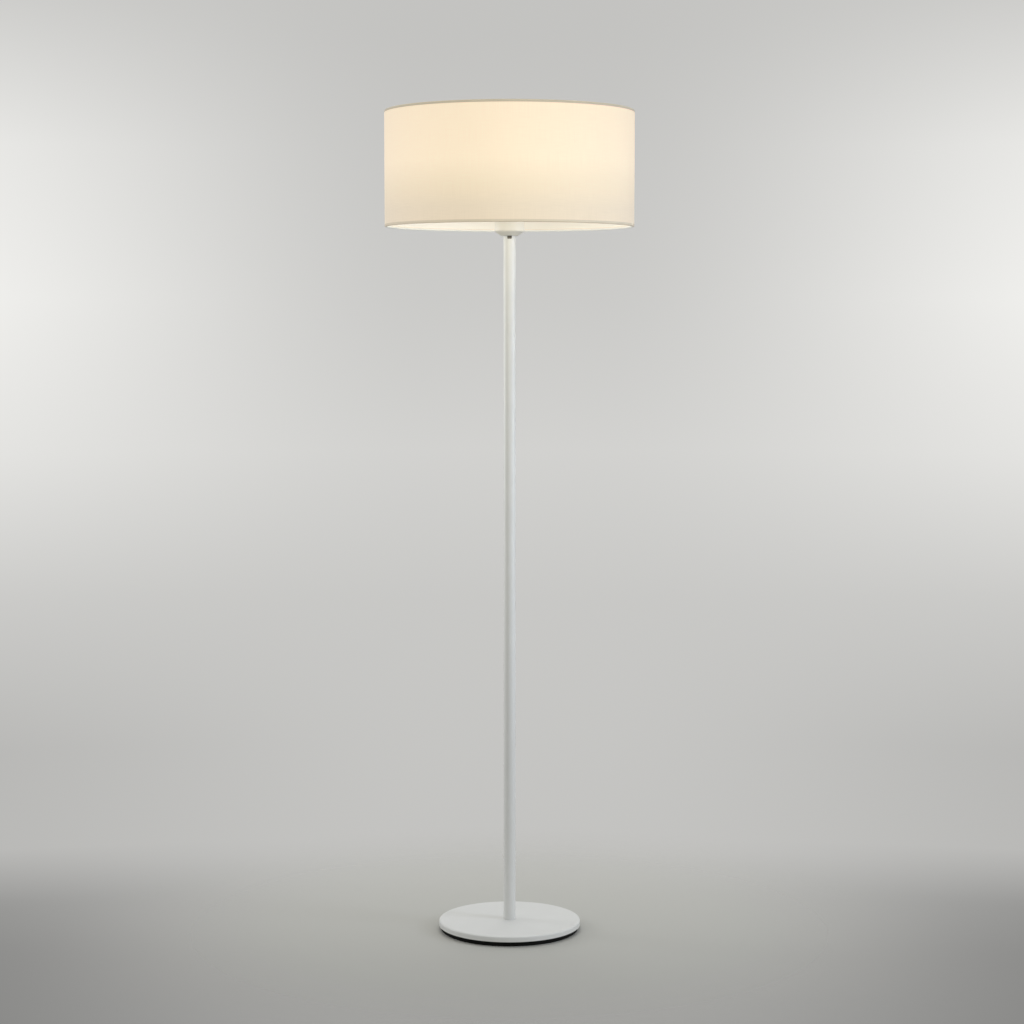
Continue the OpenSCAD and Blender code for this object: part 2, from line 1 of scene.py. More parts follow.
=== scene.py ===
"""Column floor lamp: the finished pieces of the lamp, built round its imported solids.

Everything is in metres, +Z up, with the front towards -Y and the origin on the floor under
the middle of the column. Pieces that move together ride on the same body.
"""

import math

import bpy
from bpy.props import FloatProperty, FloatVectorProperty, IntProperty, PointerProperty
from bpy.types import Operator, Panel, PropertyGroup
from mathutils import Matrix, Vector


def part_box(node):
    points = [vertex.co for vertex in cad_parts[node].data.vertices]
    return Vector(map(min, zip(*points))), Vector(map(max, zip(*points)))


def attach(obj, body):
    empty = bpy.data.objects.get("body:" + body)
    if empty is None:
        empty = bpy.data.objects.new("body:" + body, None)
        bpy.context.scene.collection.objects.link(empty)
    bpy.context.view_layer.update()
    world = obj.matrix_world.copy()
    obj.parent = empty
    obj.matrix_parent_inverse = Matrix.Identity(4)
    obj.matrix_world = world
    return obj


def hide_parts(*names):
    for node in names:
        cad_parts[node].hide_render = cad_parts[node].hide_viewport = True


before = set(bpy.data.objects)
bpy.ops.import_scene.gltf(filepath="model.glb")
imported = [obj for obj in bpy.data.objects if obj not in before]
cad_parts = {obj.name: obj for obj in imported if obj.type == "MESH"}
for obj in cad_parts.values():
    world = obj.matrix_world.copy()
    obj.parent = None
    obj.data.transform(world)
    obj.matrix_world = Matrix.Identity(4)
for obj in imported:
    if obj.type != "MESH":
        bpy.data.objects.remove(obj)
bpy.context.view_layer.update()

bl_info = {
    "name": "Column Floor Lamp",
    "version": (1, 0, 0),
    "blender": (4, 5, 0),
    "location": "3D View > Sidebar > Lamp",
    "description": "Builds the finished pieces of a column floor lamp, one operator for each",
    "category": "Add Mesh",
}

MM = 0.001
FULL_TURN = 2 * math.pi
SHARP_ANGLE = math.radians(32)

# Metres under which two places count as one
SAME = 1e-6

# The meshes' own layers: the cloth's flat measure, its double places and the depth of a thread
CLOTH_UV = "cloth"
DOUBLE_CLOTH = "double_cloth"
THREAD_DEPTH = "thread_depth"

# Where the shade's arms point: to the back, to the front left and to the front right
ARM_ANGLES = [math.radians(a) for a in (90, 210, 330)]

# Points round each turned piece
TUBE_POINTS, HOLDER_POINTS, RING_POINTS, BEAD_POINTS = 64, 144, 128, 28
CLOTH_POINTS, FILM_POINTS, LAMP_POINTS, FLOOR_POINTS = 720, 360, 96, 96
POINTS_PER_FLUTE = 16

# Heights above the shade's lower edge at which the lamp's light in the cloth changes colour
LIGHT_LOW, LIGHT_MIDDLE, LIGHT_HIGH = 28 * MM, 62 * MM, 110 * MM

# Slubs, the thick places in the yarn, as noise cells to the metre: 33 mm long and 1.1 mm wide
# along the cloth, and 45 mm long and 1 mm wide across it
SLUB_CELLS = ((30.0, 900.0, 1.0), (1000.0, 22.0, 1.0))


# ---------- the frame's own sizes ----------


def radius_of(node):
    """Outer radius of a round CAD node that stands on the column's axis."""
    low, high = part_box(node)
    return (high.x - low.x) / 2


def bottom_of(node):
    """Height of a CAD node's lowest point."""
    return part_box(node)[0].z


def top_of(node):
    """Height of a CAD node's highest point."""
    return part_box(node)[1].z


# ---------- colours and nodes ----------


def linear(code):
    """A hex sRGB colour as linear red, green, blue and alpha."""
    shares = [int(code[i:i + 2], 16) / 255 for i in (0, 2, 4)]
    return tuple(s / 12.92 if s <= 0.04045 else ((s + 0.055) / 1.055) ** 2.4 for s in shares) + (1.0,)


def add_node(tree, kind, inputs=None, **settings):
    """Add a node with its settings, and set or link each named or numbered input."""
    node = tree.nodes.new(kind)
    for name, value in settings.items():
        setattr(node, name, value)
    for key, value in (inputs or {}).items():
        if isinstance(value, bpy.types.NodeSocket):
            tree.links.new(value, node.inputs[key])
        else:
            node.inputs[key].default_value = value
    return node


# Sockets of the Mix node in its colour mode
MIX_FACTOR, MIX_A, MIX_B, MIX_RESULT = 0, 6, 7, 2


def new_material(name):
    """A material with an empty tree."""
    material = bpy.data.materials.new(name)
    material.use_nodes = True
    material.node_tree.nodes.clear()
    return material, material.node_tree


def close_material(tree, inputs):
    """End the tree in a Principled shader with these inputs."""
    shader = add_node(tree, "ShaderNodeBsdfPrincipled", inputs)
    add_node(tree, "ShaderNodeOutputMaterial", {"Surface": shader.outputs["BSDF"]})


def grain_of(tree, place, grain_mm, roughness):
    """The fine grain of a finish, and its roughness, which the grain moves between two values."""
    grain = add_node(tree, "ShaderNodeTexNoise",
                     {"Vector": place, "Scale": 1 / (grain_mm * MM), "Detail": 2.0}).outputs[0]
    rough = add_node(tree, "ShaderNodeMapRange",
                     {"Value": grain, "To Min": roughness[0], "To Max": roughness[1]}).outputs["Result"]
    return grain, rough


def surface(name, tints, roughness, grain_mm, relief_mm, blotch_mm=45.0, stretch=(1, 1, 1), **sockets):
    """A finish with two tints in soft blotches, and a grain that moves roughness and relief. All
    the pieces that have it share it."""
    if name in bpy.data.materials:
        return bpy.data.materials[name]
    material, tree = new_material(name)
    place = add_node(tree, "ShaderNodeTexCoord").outputs["Object"]
    scaled = add_node(tree, "ShaderNodeMapping", {"Vector": place, "Scale": stretch}).outputs["Vector"]
    blotch = add_node(tree, "ShaderNodeTexNoise",
                      {"Vector": place, "Scale": 1 / (blotch_mm * MM), "Detail": 3.0}).outputs[0]
    grain, rough = grain_of(tree, scaled, grain_mm, roughness)
    tint = add_node(tree, "ShaderNodeMix",
                    {MIX_FACTOR: blotch, MIX_A: linear(tints[0]), MIX_B: linear(tints[1])},
                    data_type="RGBA").outputs[MIX_RESULT]
    bump = add_node(tree, "ShaderNodeBump",
                    {"Height": grain, "Distance": relief_mm * MM, "Strength": 0.6}).outputs["Normal"]
    close_material(tree, {"Base Color": tint, "Roughness": rough, "Normal": bump, **sockets})
    return material


# ---------- materials ----------


def powder_coat():
    """White powder coat on steel: satin, with the faint orange peel of melted powder, 1.5 mm apart."""
    return surface("powder_coat_white", ("D7D8D6", "DEDFDD"), roughness=(0.36, 0.47),
                   grain_mm=1.5, relief_mm=0.03, IOR=1.5)


def coated_wire():
    """White powder coat on drawn steel wire: the same powder, a little thicker and glossier."""
    return surface("powder_coat_wire", ("E4E2DB", "EBEAE4"), roughness=(0.3, 0.4),
                   grain_mm=1.2, relief_mm=0.02, IOR=1.5)


def rubber_and_painted_gap_shade():
    """Moulded rubber: near black, matt, with the fine grit of a blasted mould. Its tints are darker
    than black rubber's own, as painted shade for the gap under the plate. Its IOR is under
    rubber's own, so that the thin dark line under the plate takes no sheen from the floor."""
    return surface("rubber_and_painted_gap_shade", ("0A0A0A", "11110F"), roughness=(0.68, 0.84),
                   grain_mm=0.7, relief_mm=0.05, IOR=1.25)


def zinc_plate():
    """Bright zinc plate on steel: bluish metal, dulled in small patches."""
    return surface("zinc_plated_steel", ("A9ADB2", "C0C3C6"), roughness=(0.26, 0.42),
                   grain_mm=0.6, relief_mm=0.01, blotch_mm=6.0, Metallic=1.0)


def turned_brass():
    """Turned and threaded brass: fine rings round the tube from the lathe."""
    return surface("turned_brass", ("C6A15A", "D8B873"), roughness=(0.2, 0.34),
                   grain_mm=0.9, relief_mm=0.01, blotch_mm=8.0, stretch=(0.1, 0.1, 4.0), Metallic=1.0)


def phosphate():
    """Phosphate coating on steel: dry and dark grey, with fine crystals and an oily bloom."""
    return surface("phosphated_steel", ("646059", "7C776D"), roughness=(0.5, 0.66),
                   grain_mm=0.5, relief_mm=0.01, blotch_mm=5.0, Metallic=0.3)


def cup_plastic():
    """Injection-moulded polycarbonate: milk white, satin from a fine spark-eroded mould."""
    return surface("moulded_polycarbonate", ("EBE7DB", "F2EFE5"), roughness=(0.38, 0.48),
                   grain_mm=0.5, relief_mm=0.02, blotch_mm=25.0, IOR=1.58)


def holder_plastic():
    """Glass-filled polyester, as lampholders are made of: hard and white, with a polished mould's gloss."""
    return surface("glass_filled_polyester", ("E4E1D8", "ECEAE2"), roughness=(0.2, 0.3),
                   grain_mm=0.8, relief_mm=0.01, blotch_mm=15.0, IOR=1.55)


def pressed_ceramic():
    """Pressed steatite: ivory, dry, with the open grain of unglazed ceramic."""
    return surface("pressed_steatite", ("DDD3BC", "E8E0CC"), roughness=(0.72, 0.88),
                   grain_mm=0.45, relief_mm=0.04, blotch_mm=4.0, IOR=1.55)


def spring_bronze():
    """Rolled phosphor bronze strip: reddish metal with faint rolling lines along it."""
    return surface("rolled_spring_bronze", ("B98353", "CC9A68"), roughness=(0.24, 0.38),
                   grain_mm=0.5, relief_mm=0.008, blotch_mm=5.0, stretch=(0.15, 2.0, 2.0), Metallic=1.0)


def lamp_plastic():
    """Thermal plastic over an aluminium core: satin white with a sand-fine skin."""
    return surface("thermal_plastic_white", ("E3E3DF", "ECECE9"), roughness=(0.36, 0.46),
                   grain_mm=0.4, relief_mm=0.015, blotch_mm=20.0, IOR=1.54)


def nickel_plate():
    """Nickel-plated brass sheet: yellowish bright metal with rubbed streaks round the cap."""
    return surface("nickel_plated_brass", ("BDB7A8", "D0CBBE"), roughness=(0.16, 0.32),
                   grain_mm=0.8, relief_mm=0.006, blotch_mm=7.0, stretch=(0.3, 0.3, 3.0), Metallic=1.0)


def black_glass():
    """Black glass bead of a lamp cap: deep black and glossy, slightly wavy from the melt."""
    return surface("black_cap_glass", ("08080A", "121217"), roughness=(0.05, 0.12),
                   grain_mm=2.5, relief_mm=0.03, blotch_mm=4.0, IOR=1.52)


def chip_board(chip_foot):
    """White solder mask on an aluminium board, with yellow phosphor on the chips above it."""
    material, tree = new_material("white_solder_mask")
    place = add_node(tree, "ShaderNodeTexCoord").outputs["Object"]
    height = add_node(tree, "ShaderNodeSeparateXYZ", {"Vector": place}).outputs["Z"]
    on_chip = add_node(tree, "ShaderNodeMath", {0: height, 1: chip_foot},
                       operation="GREATER_THAN").outputs[0]
    rough = grain_of(tree, place, grain_mm=0.4, roughness=(0.3, 0.5))[1]
    tint = add_node(tree, "ShaderNodeMix",
                    {MIX_FACTOR: on_chip, MIX_A: linear("E9E9E4"), MIX_B: linear("E8D56A")},
                    data_type="RGBA").outputs[MIX_RESULT]
    close_material(tree, {"Base Color": tint, "Roughness": rough, "IOR": 1.5})
    return material


def frosted_globe(bulb):
    """Frosted polycarbonate with the lamp burning behind it: bright all over and warm white,
    with a slightly dimmer ring above its joint, where the housing shades it."""
    material, tree = new_material("frosted_polycarbonate")
    place = add_node(tree, "ShaderNodeTexCoord").outputs["Object"]
    height = add_node(tree, "ShaderNodeSeparateXYZ", {"Vector": place}).outputs["Z"]
    joint, ring = bottom_of("lamp_globe"), 14 * MM
    share = add_node(tree, "ShaderNodeMapRange",
                     {"Value": height, "From Min": joint, "From Max": joint + ring, "To Min": 0.45},
                     interpolation_type="SMOOTHSTEP").outputs["Result"]
    glow = add_node(tree, "ShaderNodeVectorMath", {0: tuple(bulb.glow_colour)[:3], "Scale": share},
                    operation="SCALE").outputs[0]
    rough = grain_of(tree, place, grain_mm=0.5, roughness=(0.45, 0.6))[1]
    close_material(tree, {"Base Color": linear("F2F0EA"), "Roughness": rough, "IOR": 1.58,
                          "Emission Color": glow, "Emission Strength": bulb.glow})
    return material


def ramp_by_height(tree, height, stops):
    """Colour that follows the height through a list of (height in metres, colour)."""
    low, high = stops[0][0], stops[-1][0]
    share = add_node(tree, "ShaderNodeMapRange",
                     {"Value": height, "From Min": low, "From Max": high}).outputs["Result"]
    ramp_node = add_node(tree, "ShaderNodeValToRGB", {"Fac": share})
    elements = ramp_node.color_ramp.elements
    elements[0].color = stops[0][1]
    elements[-1].color = stops[-1][1]
    for place, colour in stops[1:-1]:
        elements.new((place - low) / (high - low)).color = colour
    return ramp_node.outputs["Color"]


def shade_light(tree, height, shade):
    """Colour of the lamp's light in the shade, from the lower edge to the upper one."""
    low = bottom_of("lower_hem")
    stops = [(low, shade.glow_bottom), (low + LIGHT_LOW, shade.glow_low),
             (low + LIGHT_MIDDLE, shade.glow_middle), (low + LIGHT_HIGH, shade.glow_high),
             (top_of("upper_hem"), shade.glow_top)]
    return ramp_by_height(tree, height, stops)


def shade_cloth(shade):
    """Plain-woven polyester and cotton, lit from behind: the light of the lamp shows through
    it, less where the cloth is double at the folded edges and the back seam. Its threads lie
    0.5 mm apart and are drawn wider, so that they show."""
    material, tree = new_material("woven_polyester_cotton")
    place = add_node(tree, "ShaderNodeTexCoord").outputs["Object"]
    height = add_node(tree, "ShaderNodeSeparateXYZ", {"Vector": place}).outputs["Z"]
    along = add_node(tree, "ShaderNodeUVMap", uv_map=CLOTH_UV).outputs["UV"]
    cloth = add_node(tree, "ShaderNodeSeparateXYZ", {"Vector": along})
    waves = []
    for side in ("X", "Y"):
        angle = add_node(tree, "ShaderNodeMath", {0: cloth.outputs[side], 1: math.pi / shade.thread_pitch},
                         operation="MULTIPLY")
        waves.append(add_node(tree, "ShaderNodeMath", {0: angle.outputs[0]}, operation="SINE").outputs[0])
    weave = add_node(tree, "ShaderNodeMath", {0: waves[0], 1: waves[1]}, operation="MULTIPLY").outputs[0]
    slubs = []
    for cells in SLUB_CELLS:
        scaled = add_node(tree, "ShaderNodeMapping", {"Vector": along, "Scale": cells}).outputs["Vector"]
        slubs.append(add_node(tree, "ShaderNodeTexNoise",
                              {"Vector": scaled, "Scale": 1.0, "Detail": 1.0}).outputs[0])
    slub = add_node(tree, "ShaderNodeMath", {0: slubs[0], 1: slubs[1]}, operation="ADD").outputs[0]
    weave_share = 0.25
    threads = add_node(tree, "ShaderNodeMath", {0: weave, 1: weave_share, 2: slub},
                       operation="MULTIPLY_ADD").outputs[0]
    shadow = add_node(tree, "ShaderNodeMapRange",
                      {"Value": threads, "From Min": 0.4, "From Max": 1.6, "To Min": 0.95,
                       "To Max": 1.03}).outputs["Result"]
    # From 0 to 1 the cloth is double and passes less light, and from 0 to -1 the light falls on it
    layers = add_node(tree, "ShaderNodeAttribute", attribute_name=DOUBLE_CLOTH).outputs["Fac"]
    # Where the cloth is double, its own colour is darkened as well as its light: the second share is painted
    # shade along the folds and the back seam
    passes, shows = [add_node(tree, "ShaderNodeMapRange",
                              {"Value": layers, "To Min": 1.0, "To Max": share}).outputs["Result"]
                     for share in (shade.double_share, shade.painted_fold_shade)]
    both, own = [add_node(tree, "ShaderNodeMath", {0: share, 1: shadow}, operation="MULTIPLY").outputs[0]
                 for share in (passes, shows)]
    inside = add_node(tree, "ShaderNodeMapRange", {"Value": layers, "From Min": 0.0, "From Max": -1.0})
    light = add_node(tree, "ShaderNodeMix",
                     {MIX_FACTOR: inside.outputs["Result"], MIX_A: shade_light(tree, height, shade),
                      MIX_B: shade.glow_fold}, data_type="RGBA").outputs[MIX_RESULT]
    glow = add_node(tree, "ShaderNodeVectorMath", {0: light, "Scale": both}, operation="SCALE").outputs[0]
    tint = add_node(tree, "ShaderNodeVectorMath",
                    {0: tuple(shade.cloth_colour)[:3], "Scale": own}, operation="SCALE").outputs[0]
    bump = add_node(tree, "ShaderNodeBump",
                    {"Height": threads, "Distance": 0.08 * MM, "Strength": 0.5}).outputs["Normal"]
    close_material(tree, {"Base Color": tint, "Roughness": 0.86, "Normal": bump, "Sheen Weight": 0.1,
                          "Sheen Roughness": 0.5, "IOR": 1.5, "Emission Color": glow,
                          "Emission Strength": shade.glow})
    return material


def laminating_film(shade):
    """Self-adhesive laminating film: matt off-white, with the weave behind it pressing faintly
    through and the lamp's light spread in it, most at the lamp's own height."""
    material, tree = new_material("laminating_film")
    place = add_node(tree, "ShaderNodeTexCoord").outputs["Object"]
    height = add_node(tree, "ShaderNodeSeparateXYZ", {"Vector": place}).outputs["Z"]
    print_through, rough = grain_of(tree, place, grain_mm=1.2, roughness=(0.5, 0.64))
    waves = add_node(tree, "ShaderNodeTexNoise",
                     {"Vector": place, "Scale": 1 / (60 * MM), "Detail": 1.0}).outputs[0]
    shadow = add_node(tree, "ShaderNodeMapRange",
                      {"Value": waves, "To Min": 0.96, "To Max": 1.02}).outputs["Result"]
    low, dim_edge = bottom_of("lower_hem"), 15 * MM
    nearer = add_node(tree, "ShaderNodeMapRange",
                      {"Value": height, "From Min": low + dim_edge, "From Max": low + LIGHT_HIGH,
                       "To Min": 1.0, "To Max": shade.liner_rise},
                      interpolation_type="SMOOTHSTEP").outputs["Result"]
    lit = add_node(tree, "ShaderNodeMath", {0: nearer, 1: shadow}, operation="MULTIPLY").outputs[0]
    glow, tint = [add_node(tree, "ShaderNodeVectorMath", {0: tuple(shown)[:3], "Scale": share},
                           operation="SCALE").outputs[0]
                  for shown, share in ((shade.glow_liner, lit), (shade.liner_colour, shadow))]
    bump = add_node(tree, "ShaderNodeBump",
                    {"Height": print_through, "Distance": 0.03 * MM, "Strength": 0.4}).outputs["Normal"]
    close_material(tree, {"Base Color": tint, "Roughness": rough, "Normal": bump, "IOR": 1.46,
                          "Emission Color": glow, "Emission Strength": shade.liner_glow})
    return material


# ---------- meshes ----------


def new_piece(name, points, faces, edges=()):
    """An object at the origin, with its place in its mesh."""
    mesh = bpy.data.meshes.new(name)
    mesh.from_pydata([tuple(p) for p in points], list(edges), faces)
    mesh.update()
    piece = bpy.data.objects.new(name, mesh)
    bpy.context.scene.collection.objects.link(piece)
    return piece


def smooth(piece):
    """Shade the piece smooth, with its real corners kept sharp."""
    piece.data.shade_smooth()
    piece.data.set_sharp_from_angle(angle=SHARP_ANGLE)


def outline(*corners, steps=5):
    """Points (radius, height) of a closed outline. A third number in a corner rounds it off, by at
    most just under half of each side, so that two rounded corners never meet."""
    most = 0.49
    points = []
    for i, corner in enumerate(corners):
        here = Vector(corner[:2])
        if len(corner) < 3:
            points.append(here)
            continue
        back = Vector(corners[i - 1][:2]) - here
        ahead = Vector(corners[(i + 1) % len(corners)][:2]) - here
        half = back.angle(ahead) / 2
        reach = min(corner[2] / math.tan(half), most * back.length, most * ahead.length)
        start = here + back.normalized() * reach
        end = here + ahead.normalized() * reach
        centre = here + (back.normalized() + ahead.normalized()).normalized() * (reach / math.cos(half))
        first = math.atan2(*(start - centre).yx)
        sweep = math.remainder(math.atan2(*(end - centre).yx) - first, FULL_TURN)
        points += [centre + Vector((math.cos(a), math.sin(a))) * (start - centre).length
                   for a in (first + sweep * k / steps for k in range(steps + 1))]
    return points


def arc(centre, radii, first, last, steps):
    """Points of part of an ellipse in the (radius, height) plane, with its angles in degrees."""
    angles = [math.radians(first + (last - first) * k / steps) for k in range(steps + 1)]
    return [Vector((centre[0] + radii[0] * math.cos(a), centre[1] + radii[1] * math.sin(a)))
            for a in angles]


def wall(radius, low, high, step):
    """Points up an upright wall, close enough together to carry a thread."""
    count = max(1, round(abs(high - low) / step))
    return [Vector((radius, low + (high - low) * k / count)) for k in range(count + 1)]


def even_angles(steps):
    """Angles evenly spaced all the way round."""
    return [FULL_TURN * k / steps for k in range(steps)]


def lathe(name, profile, angles, weights=None, uv_radius=None):
    """Turn closed outlines round the Z axis. profile is a list of points, or a function that
    gives the list for an angle. Points on the axis become poles. weights maps the name of a
    point attribute to one value for each point of the outline, or to a function of the angle."""
    rings = [profile(a) if callable(profile) else profile for a in angles]
    first = rings[0]
    area = sum(p.x * q.y - q.x * p.y for p, q in zip(first, first[1:] + first[:1]))
    order = range(len(first)) if area > 0 else range(len(first) - 1, -1, -1)
    points, index = [], []
    for i in order:
        row = []
        for k, (a, ring) in enumerate(zip(angles, rings)):
            on_axis = abs(first[i].x) < SAME
            if not on_axis or k == 0:
                points.append((ring[i].x * math.cos(a), ring[i].x * math.sin(a), ring[i].y))
            row.append(len(points) - 1)
        index.append((i, row))
    lengths = [0.0]
    for (i, _), (j, _) in zip(index, index[1:] + index[:1]):
        lengths.append(lengths[-1] + (first[j] - first[i]).length)
    faces, corners_uv = [], []
    turns = list(angles) + [angles[0] + FULL_TURN]
    for s, ((i, row), (j, above)) in enumerate(zip(index, index[1:] + index[:1])):
        for k in range(len(angles)):
            n = (k + 1) % len(angles)
            corners = [(row[k], k, s), (row[n], k + 1, s), (above[n], k + 1, s + 1),
                       (above[k], k, s + 1)]
            kept = [c for c, d in zip(corners, corners[-1:] + corners[:-1]) if c[0] != d[0]]
            if len(kept) < 3:
                continue
            faces.append([c[0] for c in kept])
            corners_uv += [(turns[c[1]] * (uv_radius or 1.0), lengths[c[2]]) for c in kept]
    piece = new_piece(name, points, faces)
    if uv_radius:
        layer = piece.data.uv_layers.new(name=CLOTH_UV)
        layer.data.foreach_set("uv", [x for pair in corners_uv for x in pair])
    for label, given in (weights or {}).items():
        values = []
        for i, row in index:
            spread = [given(a)[i] if callable(given) else given[i] for a in angles]
            values += spread if len(set(row)) > 1 else spread[:1]
        attribute = piece.data.attributes.new(label, "FLOAT", "POINT")
        attribute.data.foreach_set("value", values)
    smooth(piece)
    return piece


def fading_depths(points, low, high, depth, run):
    """Depth of a thread at each point, which fades over one run to nothing at both its ends."""
    return [depth * max(0.0, min(1.0, min(p.y - low, high - p.y) / run)) for p in points]


def place_on(piece, material, body, slot, *nodes):
    """Finish a piece: its material, the body that it rides on and the nodes it stands for. Its slot is not
    used.
    """
    piece.data.materials.clear()
    piece.data.materials.append(material)
    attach(piece, body)
    if nodes:
        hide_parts(*nodes)


def dress(material, *nodes):
    """Give CAD nodes a finish in place of the plain one that they came with."""
    for name in nodes:
        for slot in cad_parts[name].material_slots:
            slot.material = material


# ---------- geometry trees ----------


def new_tree(name, sockets):
    """A geometry tree with geometry in and out, and the named inputs after the first."""
    tree = bpy.data.node_groups.new(name, "GeometryNodeTree")
    tree.interface.new_socket("Geometry", in_out="OUTPUT", socket_type="NodeSocketGeometry")
    tree.interface.new_socket("Geometry", in_out="INPUT", socket_type="NodeSocketGeometry")
    for label, kind in {**sockets, "Material": "NodeSocketMaterial"}.items():
        tree.interface.new_socket(label, in_out="INPUT", socket_type=kind)
    return tree, tree.nodes.new("NodeGroupInput").outputs


def close_tree(tree, geometry, given):
    """End the tree in real geometry with its material set."""
    real = add_node(tree, "GeometryNodeRealizeInstances", {"Geometry": geometry}).outputs["Geometry"]
    done = add_node(tree, "GeometryNodeSetMaterial", {"Geometry": real, "Material": given["Material"]})
    add_node(tree, "NodeGroupOutput", {"Geometry": done.outputs["Geometry"]})


def rolled_thread_tree():
    """Moves each point towards the axis in a helical wave, as far as its own depth says."""
    tree, given = new_tree("Rolled thread", {"Pitch": "NodeSocketFloat"})
    place = add_node(tree, "GeometryNodeInputPosition").outputs["Position"]
    axes = add_node(tree, "ShaderNodeSeparateXYZ", {"Vector": place}).outputs
    angle = add_node(tree, "ShaderNodeMath", {0: axes["Y"], 1: axes["X"]}, operation="ARCTAN2")
    climb = add_node(tree, "ShaderNodeMath", {0: axes["Z"], 1: given["Pitch"]}, operation="DIVIDE")
    turned = add_node(tree, "ShaderNodeMath", {0: climb.outputs[0], 1: FULL_TURN}, operation="MULTIPLY")
    phase = add_node(tree, "ShaderNodeMath", {0: turned.outputs[0], 1: angle.outputs[0]},
                     operation="SUBTRACT")
    wave = add_node(tree, "ShaderNodeMath", {0: phase.outputs[0]}, operation="COSINE")
    # From 0 on the thread's crest to -1 in its groove
    share = add_node(tree, "ShaderNodeMath", {0: wave.outputs[0], 1: 0.5, 2: -0.5},
                     operation="MULTIPLY_ADD")
    depth = add_node(tree, "GeometryNodeInputNamedAttribute", {"Name": THREAD_DEPTH}, data_type="FLOAT")
    shift = add_node(tree, "ShaderNodeMath", {0: share.outputs[0], 1: depth.outputs["Attribute"]},
                     operation="MULTIPLY")
    flat = add_node(tree, "ShaderNodeVectorMath", {0: place, 1: (1.0, 1.0, 0.0)}, operation="MULTIPLY")
    outward = add_node(tree, "ShaderNodeVectorMath", {0: flat.outputs[0]}, operation="NORMALIZE")
    offset = add_node(tree, "ShaderNodeVectorMath",
                      {0: outward.outputs[0], "Scale": shift.outputs[0]}, operation="SCALE")
    moved = add_node(tree, "GeometryNodeSetPosition",
                     {"Geometry": given["Geometry"], "Offset": offset.outputs[0]})
    close_tree(tree, moved.outputs["Geometry"], given)
    return tree


def bent_wire_tree():
    """Turns a line of edges into round wire, with its corners bent to a radius."""
    tree, given = new_tree("Bent wire", {"Wire radius": "NodeSocketFloat", "Bend radius": "NodeSocketFloat",
                                         "Sides": "NodeSocketInt"})
    line = add_node(tree, "GeometryNodeMeshToCurve", {"Mesh": given["Geometry"]}).outputs["Curve"]
    bent = add_node(tree, "GeometryNodeFilletCurve",
                    {"Curve": line, "Count": 14, "Radius": given["Bend radius"], "Limit Radius": True},
                    mode="POLY").outputs["Curve"]
    round_wire = add_node(tree, "GeometryNodeCurvePrimitiveCircle",
                          {"Resolution": given["Sides"], "Radius": given["Wire radius"]}).outputs["Curve"]
    wire = add_node(tree, "GeometryNodeCurveToMesh",
                    {"Curve": bent, "Profile Curve": round_wire, "Fill Caps": True})
    close_tree(tree, wire.outputs["Mesh"], given)
    return tree


def copies_tree():
    """Sets copies of the piece round the Z axis."""
    tree, given = new_tree("Copies round the axis", {"Count": "NodeSocketInt"})
    index = add_node(tree, "GeometryNodeInputIndex").outputs["Index"]
    share = add_node(tree, "ShaderNodeMath", {0: index, 1: given["Count"]}, operation="DIVIDE")
    angle = add_node(tree, "ShaderNodeMath", {0: share.outputs[0], 1: FULL_TURN}, operation="MULTIPLY")
    turn = add_node(tree, "ShaderNodeCombineXYZ", {"Z": angle.outputs[0]})
    points = add_node(tree, "GeometryNodePoints", {"Count": given["Count"]}).outputs["Geometry"]
    copies = add_node(tree, "GeometryNodeInstanceOnPoints",
                      {"Points": points, "Instance": given["Geometry"], "Rotation": turn.outputs[0]})
    close_tree(tree, copies.outputs["Instances"], given)
    return tree


def grow(piece, tree, values):
    """Put a tree on the piece, with its inputs set by their sockets' identifiers."""
    modifier = piece.modifiers.new(tree.name, "NODES")
    modifier.node_group = tree
    for item in tree.interface.items_tree:
        if item.item_type == "SOCKET" and item.in_out == "INPUT" and item.name in values:
            modifier[item.identifier] = values[item.name]


def bake(piece):
    """Turn the piece and its modifiers into a plain mesh, and take the modifiers off."""
    graph = bpy.context.evaluated_depsgraph_get()
    mesh = bpy.data.meshes.new_from_object(piece.evaluated_get(graph), depsgraph=graph)
    piece.modifiers.clear()
    piece.data = mesh
    smooth(piece)


def threaded(piece, material, pitch):
    """Roll the thread into a piece whose points say how deep it is."""
    grow(piece, rolled_thread_tree(), {"Pitch": pitch, "Material": material})
    bake(piece)


# ---------- settings ----------


def length(label, about, default, low=0.0, high=3.0):
    """A setting in metres."""
    return FloatProperty(name=label, description=about, default=default, min=low, max=high,
                         precision=5, unit="LENGTH")


def colour(label, about, code):
    """A setting for a colour, from its hex sRGB value."""
    return FloatVectorProperty(name=label, description=about, default=linear(code), min=0.0, max=1.0,
                               size=4, subtype="COLOR")


def amount(label, about, default, low=0.0, high=100.0):
    """A setting for a plain number."""
    return FloatProperty(name=label, description=about, default=default, min=low, max=high)


